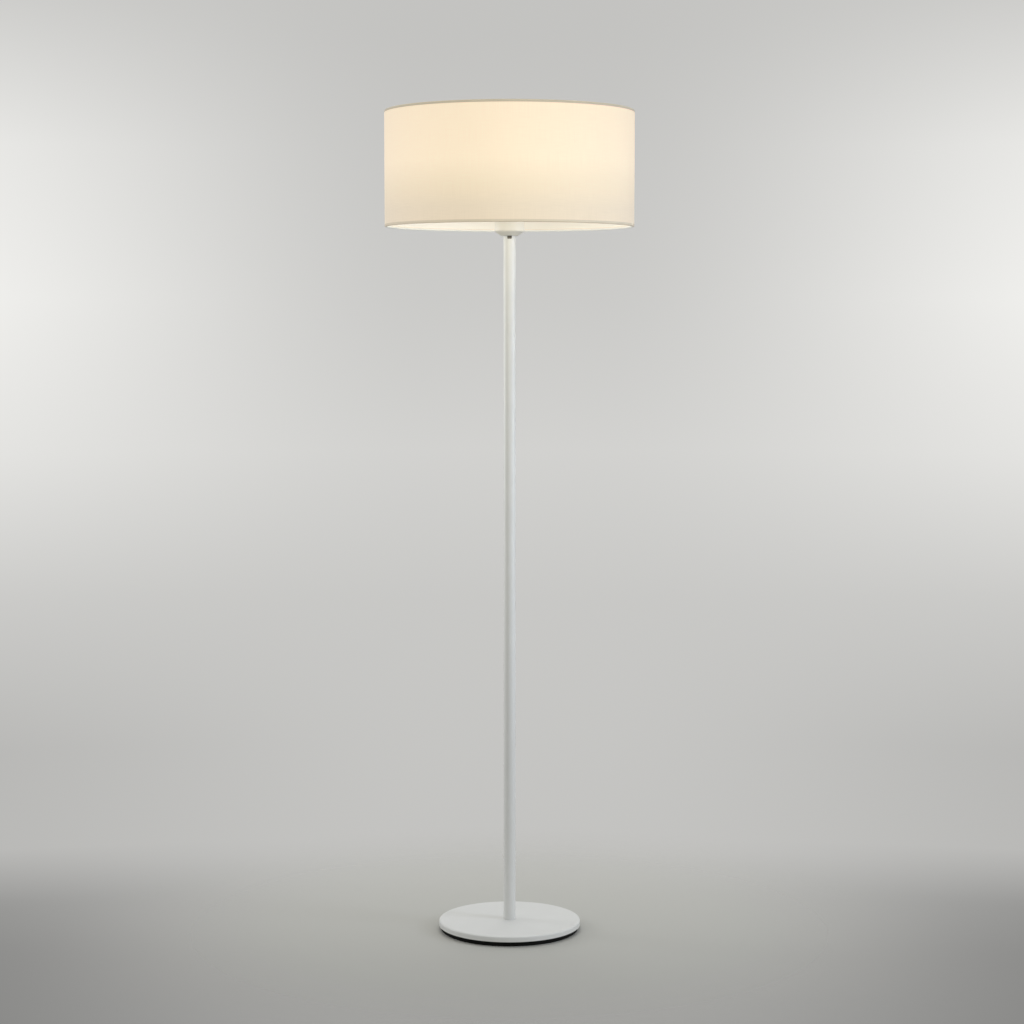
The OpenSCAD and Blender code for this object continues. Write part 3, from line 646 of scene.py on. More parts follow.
class LampShadeSettings(PropertyGroup):
    cloth_thickness: length("Cloth", "Thickness of the shade's cloth", 0.6 * MM)
    liner_thickness: length("Liner", "Thickness of the laminating film", 0.5 * MM)
    wire_radius: length("Wire", "Radius of the wire rings", 1.5 * MM)
    fold_height: length("Fold", "Height of the cloth folded in over each wire ring", 4.8 * MM)
    seam_lap: length("Seam", "Width of the glued back seam", 12 * MM)
    seam_angle: amount("Seam angle", "Where the seam's edge lies, in degrees from the right", 105.0,
                       0.0, 360.0)
    thread_pitch: length("Thread pitch", "Distance between the threads as drawn", 1.2 * MM)
    cloth_colour: colour("Cloth colour", "Colour of the unlit cloth", "DFD4BE")
    liner_colour: colour("Liner colour", "Colour of the unlit film", "F2EEE4")
    glow: amount("Glow", "Strength of the light in the cloth", 0.99)
    liner_glow: amount("Liner glow", "Strength of the light in the film", 0.96)
    liner_rise: amount("Liner rise", "Light in the film beside the lamp, in shares of its edge's", 4.5)
    double_share: amount("Double cloth", "Share of the light that the upper fold lets through", 0.06)
    double_low: amount("Lower fold", "Share of the upper fold's darkening that the lower fold has", 0.6)
    double_seam: amount("Seam", "Share of the upper fold's darkening that the back seam has", 0.42)
    # Painted shade: where the cloth is double, at the folds and the back seam, its own colour is darkened to
    # this share
    painted_fold_shade: amount("Glued cloth", "Brightness of the upper fold's own colour beside the cloth's", 0.87)
    glow_fold: colour("Light on the folds", "Colour of the lamp's light on the folds' inner side", "7C8C97")
    glow_bottom: colour("Light at the lower edge", "Colour of the light low in the cloth", "7C6D64")
    glow_low: colour("Light near the lower edge", "Colour of the light above that", "7F7066")
    glow_middle: colour("Light under the lamp", "Colour of the light below the lamp's middle", "928270")
    glow_high: colour("Light at the lamp", "Colour of the light beside the lamp", "AB9884")
    glow_top: colour("Light at the top edge", "Colour of the light high in the cloth", "AB9884")
    glow_liner: colour("Light in the liner", "Colour of the light inside the shade", "716D66")


class LampHolderSettings(PropertyGroup):
    barrel_radius: length("Barrel", "Outer radius of the lampholder's barrel", 19.75 * MM)
    sleeve_bore: length("Sleeve bore", "Inner radius of the sleeve round the lamp's cap", 14.2 * MM)
    barrel_thread: length("Barrel thread", "Pitch of the barrel's thread", 2.5 * MM)
    barrel_depth: length("Barrel thread depth", "Depth of the barrel's thread", 0.5 * MM)
    tube_thread: length("Tube thread", "Pitch of the threaded tubes", 1.0 * MM)
    tube_depth: length("Tube thread depth", "Depth of the threaded tubes' thread", 0.35 * MM)
    flutes: IntProperty(name="Flutes", description="Flutes round the collar's grip", default=24,
                        min=6, max=60)
    cup_foot: length("Cup foot", "Radius of the cup's flat foot", 15.5 * MM)
    cup_cone: length("Cup cone", "Height of the cone from the cup's foot to its wall", 8.0 * MM)
    cup_shoulder: length("Cup shoulder", "Radius between the cone and the wall", 4.0 * MM)
    cup_edge: length("Cup edge", "Radius round the cup's foot", 1.5 * MM)
    cup_wall: length("Cup wall", "Thickness of the cup", 1.2 * MM)


class LampBulbSettings(PropertyGroup):
    glow: amount("Glow", "Strength of the globe's light", 6.0)
    glow_colour: colour("Light colour", "Colour of the globe's light", "FFE9C8")
    cap_thread: length("Cap thread", "Pitch of the screw cap's thread", 3.63 * MM)
    cap_depth: length("Cap thread depth", "Depth of the screw cap's thread", 0.95 * MM)


class LampStageSettings(PropertyGroup):
    floor_radius: length("Floor", "Radius of the floor under the lamp", 0.95)
    floor_colour: colour("Floor colour", "Colour of the floor", "ABABA6")
    room: amount("Room light", "Strength of the light from all round", 1.0)
    left_light: amount("Left light", "Power of the light from the left, in watts", 2.2)
    right_light: amount("Right light", "Power of the light from the right, in watts", 3.45)
    front_light: amount("Front light", "Power of the light on the shade from in front, in watts", 0.97)
    top_light: amount("Top light", "Power of the light overhead, in watts", 17.5)
    eye_x: length("Camera X", "How far to the right of the lamp the camera is", 0.0045, -10.0, 10.0)
    eye_y: length("Camera Y", "How far behind the lamp the camera is, negative in front", -4.215, -10.0,
                  10.0)
    eye_z: length("Camera Z", "How far above the floor the camera is", 1.113, -10.0, 10.0)
    tilt: FloatProperty(name="Tilt", description="How far the camera looks down",
                        default=math.radians(4.62), subtype="ANGLE")
    lens: amount("Lens", "Focal length in millimetres on a 36 mm sensor", 81.56, 1.0, 500.0)


# ---------- base and column ----------


class LAMP_OT_base(Operator):
    """Finish the plate, its rubber pad and the bush in the lead's inlet"""
    bl_idname = "lamp.base"
    bl_label = "Base"

    def execute(self, context):
        dress(powder_coat(), "base_plate")
        # The pad and the bush take near-black rubber, darkened further as painted shade for the gap under
        # the plate
        dress(rubber_and_painted_gap_shade(), "foot_pad", "cable_bush")
        return {"FINISHED"}


def threaded_tube(name, node, holder, material):
    """Bored tube with a rolled thread, chamfered at both ends."""
    low, high, radius = bottom_of(node), top_of(node), radius_of(node)
    bore, chamfer = radius * 0.7, 0.5 * MM
    run = holder.tube_thread
    crest = wall(radius, low + chamfer, high - chamfer, run / 8)
    profile = [Vector((bore, low)), Vector((radius - chamfer, low)), *crest,
               Vector((radius - chamfer, high)), Vector((bore, high))]
    depths = [0.0, 0.0, *fading_depths(crest, low, high, holder.tube_depth, run), 0.0, 0.0]
    piece = lathe(name, profile, even_angles(TUBE_POINTS), weights={THREAD_DEPTH: depths})
    threaded(piece, material, run)
    return piece


class LAMP_OT_fixings(Operator):
    """Make the threaded tubes and finish the nuts, washers and plugs that hold the column"""
    bl_idname = "lamp.fixings"
    bl_label = "Fixings"

    def execute(self, context):
        holder = context.scene.lamp_holder
        brass = turned_brass()
        for name, node in (("lower_tube_thread", "lower_threaded_tube"),
                           ("upper_tube_thread", "upper_threaded_tube")):
            piece = threaded_tube(name, node, holder, brass)
            place_on(piece, brass, "stand", "brass_tube", node)
        dress(zinc_plate(), "foot_nut", "foot_lock_washer", "foot_washer", "cup_washer", "cup_nut")
        dress(phosphate(), "lower_plug", "upper_plug", "lock_screw")
        return {"FINISHED"}


class LAMP_OT_column(Operator):
    """Finish the painted column tube"""
    bl_idname = "lamp.column"
    bl_label = "Column"

    def execute(self, context):
        dress(powder_coat(), "column_tube")
        return {"FINISHED"}


# ---------- cup and lampholder ----------


class LAMP_OT_cup(Operator):
    """Mould the cup under the shade"""
    bl_idname = "lamp.cup"
    bl_label = "Cup"

    def execute(self, context):
        holder = context.scene.lamp_holder
        low, high, rim = bottom_of("holder_cup"), top_of("holder_cup"), radius_of("holder_cup")
        foot, cone, shoulder, edge = holder.cup_foot, holder.cup_cone, holder.cup_shoulder, holder.cup_edge
        wall_t, hole, floor_t = holder.cup_wall, 5.3 * MM, 1.5 * MM
        rim_in, foot_in = rim - wall_t, foot - wall_t
        profile = outline((hole, low, 0.3 * MM), (foot, low, edge), (rim, low + cone, shoulder),
                          (rim, high, 0.5 * MM), (rim_in, high, 0.5 * MM),
                          (rim_in, low + floor_t + cone, shoulder), (foot_in, low + floor_t, edge),
                          (hole, low + floor_t), steps=8)
        cup = lathe("cup_shell", profile, even_angles(HOLDER_POINTS))
        place_on(cup, cup_plastic(), "stand", "cup_plastic", "holder_cup")
        return {"FINISHED"}


def barrel_profile(holder):
    """Outline of the double-walled barrel with its flange, and the depth of its thread."""
    low, high, flange = bottom_of("holder_barrel"), top_of("holder_barrel"), radius_of("holder_barrel")
    radius, bore = holder.barrel_radius, holder.sleeve_bore
    seat = top_of("holder_cup")
    sleeve, wall_in, rebate = bore + 1.6 * MM, radius - 2.15 * MM, radius - 0.975 * MM
    sleeve_low, under_rim, thread_end = seat - 3.7 * MM, high - 2 * MM, high - 1.4 * MM
    run = holder.barrel_thread
    crest = wall(radius, seat + 0.9 * MM, thread_end, run / 10)
    skirt = outline((rebate, low), (radius, low, 0.3 * MM), (radius, seat - 3 * MM, 0.8 * MM),
                    (flange - 1 * MM, seat - 2 * MM, 0.4 * MM), (flange, seat - 1.5 * MM, 0.4 * MM),
                    (flange, seat, 0.4 * MM), (radius, seat), steps=3)
    mouth = outline((radius, thread_end), (radius, high, 1.0 * MM), (bore, high, 0.8 * MM),
                    (bore, under_rim), steps=4)[1:-1]
    inside = [Vector(p) for p in ((bore, sleeve_low), (sleeve, sleeve_low), (sleeve, under_rim),
                                  (wall_in, under_rim), (wall_in, low + 5 * MM),
                                  (rebate, low + 4.1 * MM))]
    thread = fading_depths(crest, crest[0].y, crest[-1].y, holder.barrel_depth, run)
    depths = [0.0] * len(skirt) + thread + [0.0] * (len(mouth) + len(inside))
    return [*skirt, *crest, *mouth, *inside], depths


class LAMP_OT_lampholder(Operator):
    """Make the threaded barrel and finish the pieces inside the lampholder"""
    bl_idname = "lamp.lampholder"
    bl_label = "Lampholder"

    def execute(self, context):
        holder = context.scene.lamp_holder
        plastic = holder_plastic()
        profile, depths = barrel_profile(holder)
        barrel = lathe("barrel_thread", profile, even_angles(HOLDER_POINTS), weights={THREAD_DEPTH: depths})
        threaded(barrel, plastic, holder.barrel_thread)
        place_on(barrel, plastic, "stand", "holder_plastic", "holder_barrel")
        dress(plastic, "holder_base")
        dress(pressed_ceramic(), "contact_block")
        dress(spring_bronze(), "side_contact", "centre_contact")
        dress(zinc_plate(), "terminal_screws")
        return {"FINISHED"}


class LAMP_OT_collar(Operator):
    """Mould the collar that clamps the shade, with its fluted grip and its inner thread"""
    bl_idname = "lamp.collar"
    bl_label = "Collar"

    def execute(self, context):
        holder = context.scene.lamp_holder
        plastic = holder_plastic()
        low, high, flange = bottom_of("shade_collar"), top_of("shade_collar"), radius_of("shade_collar")
        bore, grip, flange_top = holder.barrel_radius + 0.4 * MM, flange - 3.5 * MM, low + 2.5 * MM
        flute, flute_depth, flute_low = 2 * MM, 0.8 * MM, flange_top + 0.6 * MM
        reach = grip + flute - flute_depth
        lead_in, from_end = bore + 0.6 * MM, 0.8 * MM
        run = holder.barrel_thread
        crest = wall(bore, high - from_end, low + from_end, run / 10)
        body = outline((lead_in, low), (flange, low, 0.5 * MM), (flange, flange_top, 0.8 * MM),
                       (grip, flange_top, 0.3 * MM), (grip, flute_low), (grip, flute_low + 0.3 * MM),
                       (grip, high, 0.8 * MM), (lead_in, high), steps=4)
        depths = [0.0] * len(body) + fading_depths(crest, low, high, -holder.barrel_depth, run)

        def fluted(angle):
            """The body's outline, cut back where a round flute crosses this angle."""
            off = math.remainder(angle, FULL_TURN / holder.flutes)
            across = reach * math.sin(off)
            if abs(across) >= flute:
                return [*body, *crest]
            edge = reach * math.cos(off) - math.sqrt(flute ** 2 - across ** 2)
            cut = [Vector((min(p.x, edge), p.y)) if p.y > flute_low + SAME and p.x > bore + 1 * MM else p
                   for p in body]
            return [*cut, *crest]

        collar = lathe("fluted_collar", fluted, even_angles(holder.flutes * POINTS_PER_FLUTE),
                       weights={THREAD_DEPTH: depths})
        threaded(collar, plastic, run)
        place_on(collar, plastic, "collar", "holder_plastic", "shade_collar")
        return {"FINISHED"}


# ---------- shade ----------


def weld_bead(name, foot, radius, run, lean):
    """Ring of weld metal round a wire's end, with its ripples. lean turns it about the Y axis."""
    root, toe, crown = radius - 0.2 * MM, radius + 0.9 * MM, radius + 0.55 * MM
    ripples, ripple_height = 5, 0.12 * MM
    profile = outline((root, 0.0), (toe, 0.0), (crown, run * 0.4, run), (root, run), steps=6)

    def rippled(angle):
        wave = Vector((ripple_height * math.sin(ripples * angle), 0))
        return [p + wave if p.x > radius else p for p in profile]

    bead = lathe(name, rippled, even_angles(BEAD_POINTS))
    bead.data.transform(Matrix.Translation((foot[0], 0, foot[1])) @ Matrix.Rotation(lean, 4, "Y"))
    return bead


class LAMP_OT_carrier(Operator):
    """Make the ring, the three bent arms and their welds, and finish the two wire rings"""
    bl_idname = "lamp.carrier"
    bl_label = "Shade carrier"

    def execute(self, context):
        shade = context.scene.lamp_shade
        wire = coated_wire()
        low, high, edge = bottom_of("fitter_ring"), top_of("fitter_ring"), radius_of("fitter_ring")
        bore = context.scene.lamp_holder.barrel_radius + 0.55 * MM
        profile = outline((bore, low, 0.3 * MM), (edge, low, 0.7 * MM), (edge, high, 0.7 * MM),
                          (bore, high, 0.5 * MM))
        ring = lathe("carrier_ring", profile, even_angles(RING_POINTS))
        place_on(ring, wire, "shade", "white_wire", "fitter_ring")

        arm_radius, bend, arm_sides = 1.75 * MM, 10 * MM, 32
        middle = (low + high) / 2
        end_r = radius_of("lower_wire_ring") - shade.wire_radius
        end_z = bottom_of("lower_wire_ring") + shade.wire_radius
        corner_r = end_r - (middle - end_z)
        # The arms' ends are pressed this far into the ring and the wire before they are welded
        into = 0.3 * MM
        # Straight out from the ring, then down at 45 degrees to the lower wire
        path = [(edge - into, 0.0, middle), (corner_r, 0.0, middle), (end_r - into, 0.0, end_z + into)]
        arms = new_piece("carrier_arms", path, [], [(0, 1), (1, 2)])
        grow(arms, bent_wire_tree(), {"Wire radius": arm_radius, "Bend radius": bend,
                                      "Sides": arm_sides, "Material": wire})
        self.set_round(arms, wire)
        place_on(arms, wire, "shade", "white_wire", "fitter_arm_back", "fitter_arm_left", "fitter_arm_right")

        slant, weld_run = math.radians(45), 1.8 * MM
        back_off = (shade.wire_radius + 0.2 * MM) * math.cos(slant)
        for name, foot, lean in (("inner_welds", (edge - 0.1 * MM, middle), math.pi / 2),
                                 ("outer_welds", (end_r - back_off, end_z + back_off), -slant)):
            welds = weld_bead(name, foot, arm_radius, weld_run, lean)
            self.set_round(welds, wire)
            place_on(welds, wire, "shade", "white_wire")
        dress(wire, "lower_wire_ring", "upper_wire_ring")
        return {"FINISHED"}

    def set_round(self, piece, material):
        """Three of the piece round the axis, the first at the back."""
        if piece.modifiers:
            bake(piece)
        piece.data.transform(Matrix.Rotation(ARM_ANGLES[0], 4, "Z"))
        grow(piece, copies_tree(), {"Count": len(ARM_ANGLES), "Material": material})
        bake(piece)


def seam_columns(steps, seam_edge, lap_angle):
    """Even angles round the shade, with more of them at the seam's edges."""
    step = 0.0003
    extra = [seam_edge - step, seam_edge + step, seam_edge - lap_angle, seam_edge - 2 * lap_angle]
    return sorted(set(even_angles(steps)) | set(extra))


def seam_lift(angle, seam_edge, lap_angle):
    """How far the upper layer stands up at the seam, as a share of its thickness."""
    behind = seam_edge - angle
    if behind < 0 or behind > 2 * lap_angle:
        return 0.0
    if behind <= lap_angle:
        return 1.0
    share = (2 * lap_angle - behind) / lap_angle
    return share * share * (3 - 2 * share)


def thick_sheet(line, thickness, lifts=None):
    """Closed outline of a sheet that follows a middle line, with its outer side lifted."""
    outer, inner = [], []
    for i, point in enumerate(line):
        along = line[min(i + 1, len(line) - 1)] - line[max(i - 1, 0)]
        side = Vector((along.y, -along.x)).normalized()
        outer.append(point + side * (thickness / 2 + (lifts[i] if lifts else 0.0)))
        inner.append(point - side * thickness / 2)
    return outer + inner[::-1]


class LAMP_OT_shade_cloth(Operator):
    """Lay the cloth round the shade and roll its edges over the two wire rings"""
    bl_idname = "lamp.shade_cloth"
    bl_label = "Shade cloth"

    def execute(self, context):
        shade = context.scene.lamp_shade
        skin, half = radius_of("shade_fabric"), shade.cloth_thickness / 2
        low, high = bottom_of("lower_hem"), top_of("upper_hem")
        wire_r = radius_of("lower_wire_ring") - shade.wire_radius
        out_r, glue, film_gap = skin - half, 0.05 * MM, 0.1 * MM
        rise = shade.wire_radius + glue + half
        low_z, high_z = low + rise + half, high - rise - half
        liner_r = skin - shade.cloth_thickness - shade.liner_thickness - half - film_gap
        fold = shade.fold_height

        # From the free edge inside, down and round the lower wire, up the outside and over the top
        tail = [Vector((liner_r, low + fold)), Vector((liner_r - 0.1 * MM, low + fold - 0.7 * MM)),
                Vector((wire_r - 0.3 * MM, low_z + rise * 0.98))]
        under = arc((wire_r, low_z), (rise, rise), 128, 270, 12)
        corner = arc((wire_r, low_z), (out_r - wire_r, rise), 270, 360, 8)[1:]
        rounded_low = tail + under + corner
        rounded_high = [Vector((p.x, low_z + high_z - p.y)) for p in reversed(rounded_low)]
        # Close pairs of points keep the folds' edges crisp where the light changes
        step_low, step_high, beside = low + fold, high - fold, 0.3 * MM
        levels = [step_low - beside, step_low + beside]
        levels += [low + (high - low) * share for share in (0.15, 0.3, 0.45, 0.6, 0.75, 0.9)]
        levels += [step_high - beside, step_high + beside]
        line = rounded_low + [Vector((out_r, z)) for z in levels] + rounded_high
        seam_edge = math.radians(shade.seam_angle)
        lap = shade.seam_lap / skin
        straight = [1.0 if abs(p.x - out_r) < SAME else 0.0 for p in line]
        # Points from the fold's free edge to halfway under the wire, which a slit draws together
        free, drawn = len(tail) + 6, 0.05
        slit, pressed = math.radians(0.7), 0.9

        def cloth_at(angle):
            """The cloth's outline, raised where it laps itself and slit where it meets an arm."""
            lift = seam_lift(angle, seam_edge, lap) * shade.cloth_thickness * pressed
            loop = thick_sheet(line, shade.cloth_thickness, [lift * s for s in straight])
            if min(abs(math.remainder(angle - a, FULL_TURN)) for a in ARM_ANGLES) < slit:
                last = len(loop) - 1
                for i in range(free):
                    for j, stop in ((i, free), (last - i, last - free)):
                        loop[j] = loop[stop] + (loop[j] - loop[stop]) * drawn
            return loop

        # Above 0 where light comes through two layers, -1 on the folds' inner side, lit straight
        folds = [-1.0 if p.x <= wire_r else shade.double_low if p.y < step_low else float(p.y > step_high)
                 for p in line]

        def double_at(angle):
            seam = seam_lift(angle, seam_edge, lap) >= 1.0
            side = [shade.double_seam if seam and share == 0.0 else share for share in folds]
            return side + side[::-1]

        columns = seam_columns(CLOTH_POINTS, seam_edge, lap)
        cloth = lathe("shade_cloth_sheet", cloth_at, columns, weights={DOUBLE_CLOTH: double_at},
                      uv_radius=skin)
        place_on(cloth, shade_cloth(shade), "shade", "shade_cloth", "shade_fabric", "lower_hem", "upper_hem")
        return {"FINISHED"}


class LAMP_OT_shade_liner(Operator):
    """Roll the film inside the shade, with its own lap at the back"""
    bl_idname = "lamp.shade_liner"
    bl_label = "Shade liner"

    def execute(self, context):
        shade = context.scene.lamp_shade
        outer = radius_of("shade_liner")
        inner = outer - shade.liner_thickness
        short, lap_width, behind_seam, pressed, steps = 1 * MM, 10 * MM, 9.0, 0.8, 12
        low, high = bottom_of("shade_liner") + short, top_of("shade_liner") - short
        seam_edge = math.radians(shade.seam_angle - behind_seam)
        lap = lap_width / inner
        levels = [low + (high - low) * k / steps for k in range(steps + 1)]

        def film_at(angle):
            lift = seam_lift(angle, seam_edge, lap) * shade.liner_thickness * pressed
            return [*(Vector((outer, z)) for z in levels),
                    *(Vector((inner - lift, z)) for z in reversed(levels))]

        columns = seam_columns(FILM_POINTS, seam_edge, lap)
        liner = lathe("liner_film_sheet", film_at, columns, uv_radius=inner)
        place_on(liner, laminating_film(shade), "shade", "liner_film", "shade_liner")
        return {"FINISHED"}


# ---------- lamp ----------


class LAMP_OT_bulb(Operator):
    """Make the globe, the housing and the threaded cap, and finish the rest of the lamp"""
    bl_idname = "lamp.bulb"
    bl_label = "Lamp"

    def execute(self, context):
        bulb = context.scene.lamp_bulb
        radius, top, joint = radius_of("lamp_globe"), top_of("lamp_globe"), bottom_of("lamp_globe")
        middle = top - radius
        wall_t = 1.2 * MM
        low_angle = math.degrees(math.asin((joint - middle) / radius))
        low_inside = math.degrees(math.asin((joint - middle) / (radius - wall_t)))
        shell = arc((0.0, middle), (radius, radius), low_angle, 90, 48)
        hollow = arc((0.0, middle), (radius - wall_t, radius - wall_t), 90, low_inside, 40)
        shell[-1].x = hollow[0].x = 0.0
        globe = lathe("frosted_globe", shell + hollow, even_angles(LAMP_POINTS))
        place_on(globe, frosted_globe(bulb), "lamp", "globe_diffuser", "lamp_globe")

        self.housing(shell[0].x, joint)
        nickel = nickel_plate()
        cap = self.cap(bulb, nickel)
        place_on(cap, nickel, "lamp", "cap_nickel", "lamp_cap")
        dress(nickel, "lamp_tip")
        dress(black_glass(), "lamp_insulator")
        chip_foot = joint + 1.7 * MM
        dress(chip_board(chip_foot), "lamp_board")
        return {"FINISHED"}

    def housing(self, joint_r, joint):
        """Neck that swells to the globe, with a shadow groove under the joint."""
        low, cap_top = bottom_of("lamp_housing"), top_of("lamp_cap")
        neck, plug = 14 * MM, radius_of("lamp_cap") - 1.65 * MM
        steps = 26
        flank = []
        for k in range(1, steps):
            t = k / steps
            swell = (t * t * (3 - 2 * t) + t) / 2
            flank.append(Vector((neck + (joint_r - neck) * swell, cap_top + (joint - cap_top) * t)))
        foot = outline((plug, cap_top), (neck, cap_top, 0.4 * MM), flank[0], steps=3)[1:-1]
        groove_low = joint - 1.6 * MM
        groove = [Vector((joint_r - inset, joint - drop)) for inset, drop in
                  ((0.15 * MM, 1.5 * MM), (0.6 * MM, 1.3 * MM), (0.6 * MM, 0.7 * MM), (0.0, 0.5 * MM))]
        profile = [Vector((0.0, low)), Vector((plug, low)), Vector((plug, cap_top)), *foot,
                   *[p for p in flank if p.y < groove_low], *groove,
                   Vector((joint_r, joint)), Vector((0.0, joint))]
        housing = lathe("lamp_body", profile, even_angles(LAMP_POINTS))
        place_on(housing, lamp_plastic(), "lamp", "lamp_plastic", "lamp_housing")

    def cap(self, bulb, material):
        """Screw cap pressed from sheet, so that its inner side has the thread too."""
        low, high, radius = bottom_of("lamp_cap"), top_of("lamp_cap"), radius_of("lamp_cap")
        sheet_t, lip, bend_top, plain = 0.4 * MM, 9.5 * MM, low + 1.6 * MM, 2.0 * MM
        run = bulb.cap_thread
        outside = wall(radius, low + 1.5 * MM, high, run / 14)
        inside = [Vector((radius - sheet_t, p.y)) for p in reversed(outside)]
        foot = outline((radius, bend_top), (radius, low, 1.4 * MM), (lip, low))[1:-1]
        foot_in = outline((lip, low + sheet_t), (radius - sheet_t, low + sheet_t, 1.0 * MM),
                          (radius - sheet_t, bend_top))[1:-1]
        profile = [*outside, *inside, *reversed(foot_in), Vector((lip, low + sheet_t)), Vector((lip, low)),
                   *reversed(foot)]
        depths = fading_depths(profile, low + plain, high - plain, bulb.cap_depth, run * 0.6)
        cap = lathe("screw_cap", profile, even_angles(LAMP_POINTS), weights={THREAD_DEPTH: depths})
        threaded(cap, material, run)
        return cap


# ---------- stage ----------


# Grey of the studio by height, as the height of a line of sight one unit long: the wall straight
# behind the lamp, and a patch at each side, brighter at the shade and darker at the floor. The
# patch comes in and goes out between two distances to the side, each with its last share, and the
# tint makes the grey a little warm
WALL_BEHIND = [(-0.35, 0.33), (-0.264, 0.407), (-0.244, 0.475), (-0.225, 0.545), (-0.118, 0.58),
               (-0.054, 0.645), (0.011, 0.598), (0.12, 0.548), (0.4, 0.56)]
WALL_BESIDE = [(-0.35, 0.21), (-0.258, 0.25), (-0.24, 0.29), (-0.218, 0.48), (-0.178, 0.475), (-0.115, 0.6),
               (-0.054, 0.79), (0.011, 0.9), (0.075, 0.84), (0.134, 0.63), (0.4, 0.6)]
PATCH_SIDES = ((0.03, 0.27, 1.0), (0.32, 0.6, 0.0))
WALL_TINT = (1.0, 0.995, 0.97)


def studio_world(stage):
    """Pale studio light from all round, with a wall behind the lamp that is uneven to both sides."""
    world = bpy.data.worlds.new("pale_studio")
    world.use_nodes = True
    tree = world.node_tree
    tree.nodes.clear()
    way = add_node(tree, "ShaderNodeTexCoord").outputs["Generated"]
    axes = add_node(tree, "ShaderNodeSeparateXYZ", {"Vector": way}).outputs
    behind, beside = [ramp_by_height(tree, axes["Z"], [(z, (*(grey * part for part in WALL_TINT), 1.0))
                                                       for z, grey in tones])
                      for tones in (WALL_BEHIND, WALL_BESIDE)]
    side = add_node(tree, "ShaderNodeMath", {0: axes["X"]}, operation="ABSOLUTE").outputs[0]
    rise, fall = [add_node(tree, "ShaderNodeMapRange", {"Value": side, "From Min": near, "From Max": far,
                                                        "To Min": 1 - last, "To Max": last},
                           interpolation_type="SMOOTHSTEP").outputs["Result"]
                  for near, far, last in PATCH_SIDES]
    side_share = add_node(tree, "ShaderNodeMath", {0: rise, 1: fall}, operation="MULTIPLY").outputs[0]
    wall_tone = add_node(tree, "ShaderNodeMix", {MIX_FACTOR: side_share, MIX_A: behind, MIX_B: beside},
                         data_type="RGBA").outputs[MIX_RESULT]
    back = add_node(tree, "ShaderNodeBackground", {"Color": wall_tone, "Strength": stage.room})
    add_node(tree, "ShaderNodeOutputWorld", {"Surface": back.outputs["Background"]})
    return world


def studio_floor(stage):
    """Pale matt floor, with painted light that makes it lighter towards the back, which fades into
    the studio round it and can be seen through from below."""
    material, tree = new_material("pale_matt_floor")
    place = add_node(tree, "ShaderNodeTexCoord").outputs["Object"]
    away = add_node(tree, "ShaderNodeVectorMath", {0: place}, operation="LENGTH").outputs["Value"]
    # It starts to fade a little outside the base, and is gone just before its own edge
    fade_from, fade_to = 160 * MM, stage.floor_radius * 0.95
    fade = add_node(tree, "ShaderNodeMapRange",
                    {"Value": away, "From Min": fade_from, "From Max": fade_to},
                    interpolation_type="SMOOTHSTEP").outputs["Result"]
    depth = add_node(tree, "ShaderNodeSeparateXYZ", {"Vector": place}).outputs["Y"]
    # Painted light: the floor's colour grows lighter towards the back, as if lit from behind
    painted_back_light = add_node(tree, "ShaderNodeMapRange",
                     {"Value": depth, "From Min": -0.6, "From Max": 0.4, "To Min": 0.93,
                      "To Max": 1.34}).outputs["Result"]
    tint = add_node(tree, "ShaderNodeVectorMath",
                    {0: tuple(stage.floor_colour)[:3], "Scale": painted_back_light}, operation="SCALE").outputs[0]
    under = add_node(tree, "ShaderNodeNewGeometry").outputs["Backfacing"]
    clear_share = add_node(tree, "ShaderNodeMath", {0: fade, 1: under}, operation="MAXIMUM").outputs[0]
    rough = grain_of(tree, place, grain_mm=8, roughness=(0.55, 0.65))[1]
    matt = add_node(tree, "ShaderNodeBsdfPrincipled", {"Base Color": tint, "Roughness": rough})
    clear = add_node(tree, "ShaderNodeBsdfTransparent")
    mixed = add_node(tree, "ShaderNodeMixShader",
                     {0: clear_share, 1: matt.outputs[0], 2: clear.outputs[0]})
    add_node(tree, "ShaderNodeOutputMaterial", {"Surface": mixed.outputs[0]})
    return material


def area_light(name, watts, tint, place, target, size, spread=180):
    """Soft light panel at a place, turned to its target and out of the camera's sight. spread is
    the angle of its beam in degrees."""
    data = bpy.data.lights.new(name, "AREA")
    data.shape = "RECTANGLE"
    data.size, data.size_y = size
    data.energy = watts
    data.spread = math.radians(spread)
    data.color = linear(tint)[:3]
    panel = bpy.data.objects.new(name, data)
    panel.location = place
    panel.rotation_euler = (Vector(target) - Vector(place)).to_track_quat("-Z", "Y").to_euler()
    panel.visible_camera = False
    bpy.context.scene.collection.objects.link(panel)


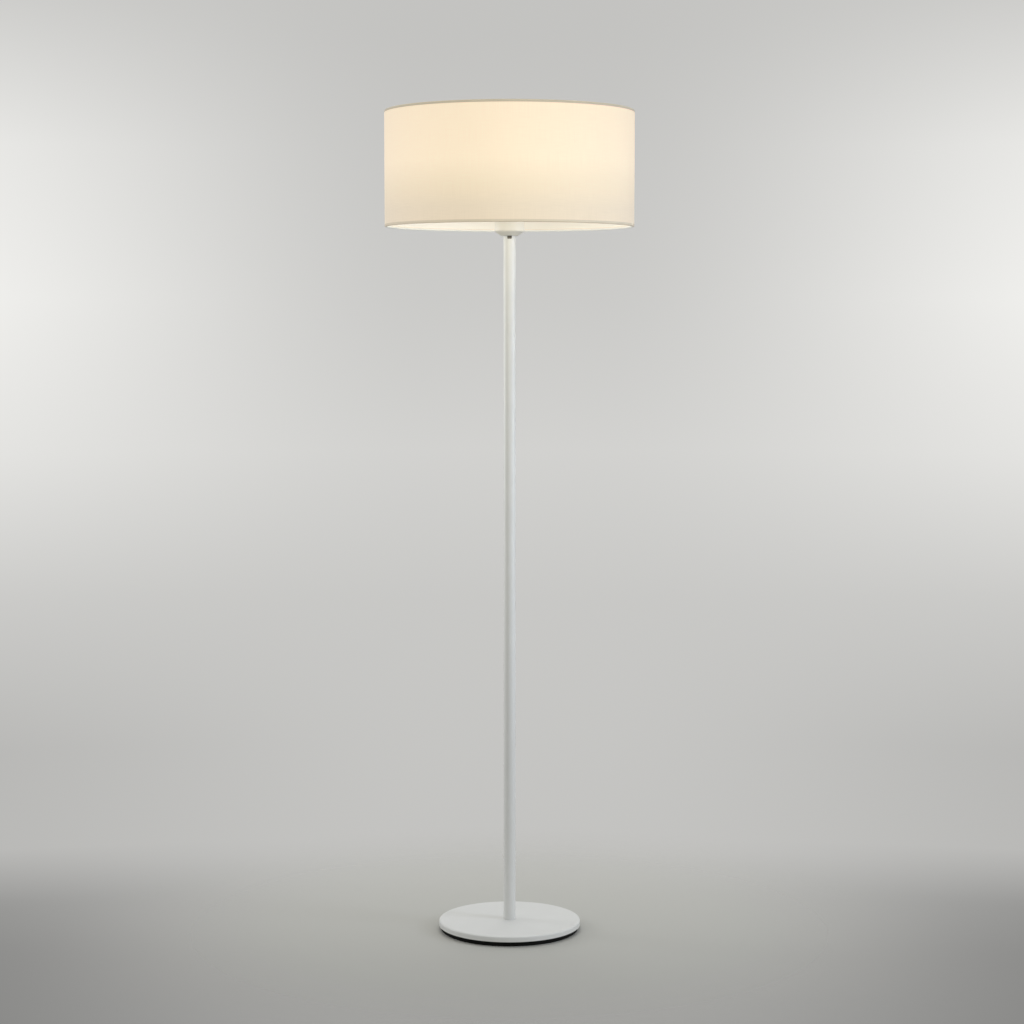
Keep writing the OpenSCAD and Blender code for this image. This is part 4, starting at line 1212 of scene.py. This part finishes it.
class LAMP_OT_stage(Operator):
    """Set the pale floor, the soft studio light and the camera"""
    bl_idname = "lamp.stage"
    bl_label = "Stage"

    def execute(self, context):
        stage = context.scene.lamp_stage
        # Just under the lamp, so that the two don't share a plane
        floor_z = -0.2 * MM
        rim = [(stage.floor_radius * math.cos(a), stage.floor_radius * math.sin(a), floor_z)
               for a in even_angles(FLOOR_POINTS)]
        floor = new_piece("studio_floor", rim, [list(range(len(rim)))])
        floor.data.materials.append(studio_floor(stage))

        scene = context.scene
        scene.world = studio_world(stage)
        scene.view_settings.view_transform = "Standard"
        area_light("left_panel", stage.left_light, "FAFCFF", place=(-1.8, 0.65, 1.05),
                   target=(0, 0, 0.8), size=(0.5, 0.8), spread=75)
        area_light("right_panel", stage.right_light, "E6F0FF", place=(1.86, -0.65, 1.1),
                   target=(0, 0, 0.75), size=(0.6, 0.8), spread=78)
        area_light("front_panel", stage.front_light, "FFFBE6", place=(-0.3, -2.4, 1.35),
                   target=(0, 0, 1.3), size=(0.5, 0.3), spread=45)
        area_light("top_panel", stage.top_light, "FFFEFA", place=(0.0, 0.9, 3.2),
                   target=(0, 0, 0), size=(1.4, 1.4))

        eye = bpy.data.cameras.new("camera")
        eye.sensor_width = 36.0
        eye.lens = stage.lens
        camera = bpy.data.objects.new("camera", eye)
        camera.location = (stage.eye_x, stage.eye_y, stage.eye_z)
        camera.rotation_euler = (math.pi / 2 - stage.tilt, 0, 0)
        scene.collection.objects.link(camera)
        scene.camera = camera
        return {"FINISHED"}


# ---------- panel and registration ----------


class LAMP_PT_pieces(Panel):
    """Lists the operators that build the lamp, with their settings"""
    bl_idname = "LAMP_PT_pieces"
    bl_label = "Column Floor Lamp"
    bl_space_type = "VIEW_3D"
    bl_region_type = "UI"
    bl_category = "Lamp"

    def draw(self, context):
        for operator in OPERATORS:
            self.layout.operator(operator.bl_idname)
        for name in SETTINGS:
            box = self.layout.box()
            group = getattr(context.scene, name)
            for prop in group.bl_rna.properties:
                if prop.identifier not in ("rna_type", "name"):
                    box.prop(group, prop.identifier)


SETTINGS = {
    "lamp_shade": LampShadeSettings,
    "lamp_holder": LampHolderSettings,
    "lamp_bulb": LampBulbSettings,
    "lamp_stage": LampStageSettings,
}
OPERATORS = [LAMP_OT_stage, LAMP_OT_base, LAMP_OT_fixings, LAMP_OT_column, LAMP_OT_cup, LAMP_OT_lampholder,
             LAMP_OT_collar, LAMP_OT_carrier, LAMP_OT_shade_cloth, LAMP_OT_shade_liner, LAMP_OT_bulb]


def register():
    for made in (*SETTINGS.values(), *OPERATORS, LAMP_PT_pieces):
        bpy.utils.register_class(made)
    for name, group in SETTINGS.items():
        setattr(bpy.types.Scene, name, PointerProperty(type=group))


def unregister():
    for name in SETTINGS:
        delattr(bpy.types.Scene, name)
    for made in reversed((*SETTINGS.values(), *OPERATORS, LAMP_PT_pieces)):
        bpy.utils.unregister_class(made)


def main():
    """Build the stage and every piece in order."""
    register()
    bpy.ops.lamp.stage()
    bpy.ops.lamp.base()
    bpy.ops.lamp.fixings()
    bpy.ops.lamp.column()
    bpy.ops.lamp.cup()
    bpy.ops.lamp.lampholder()
    bpy.ops.lamp.collar()
    bpy.ops.lamp.carrier()
    bpy.ops.lamp.shade_cloth()
    bpy.ops.lamp.shade_liner()
    bpy.ops.lamp.bulb()


if __name__ == "__main__":
    main()
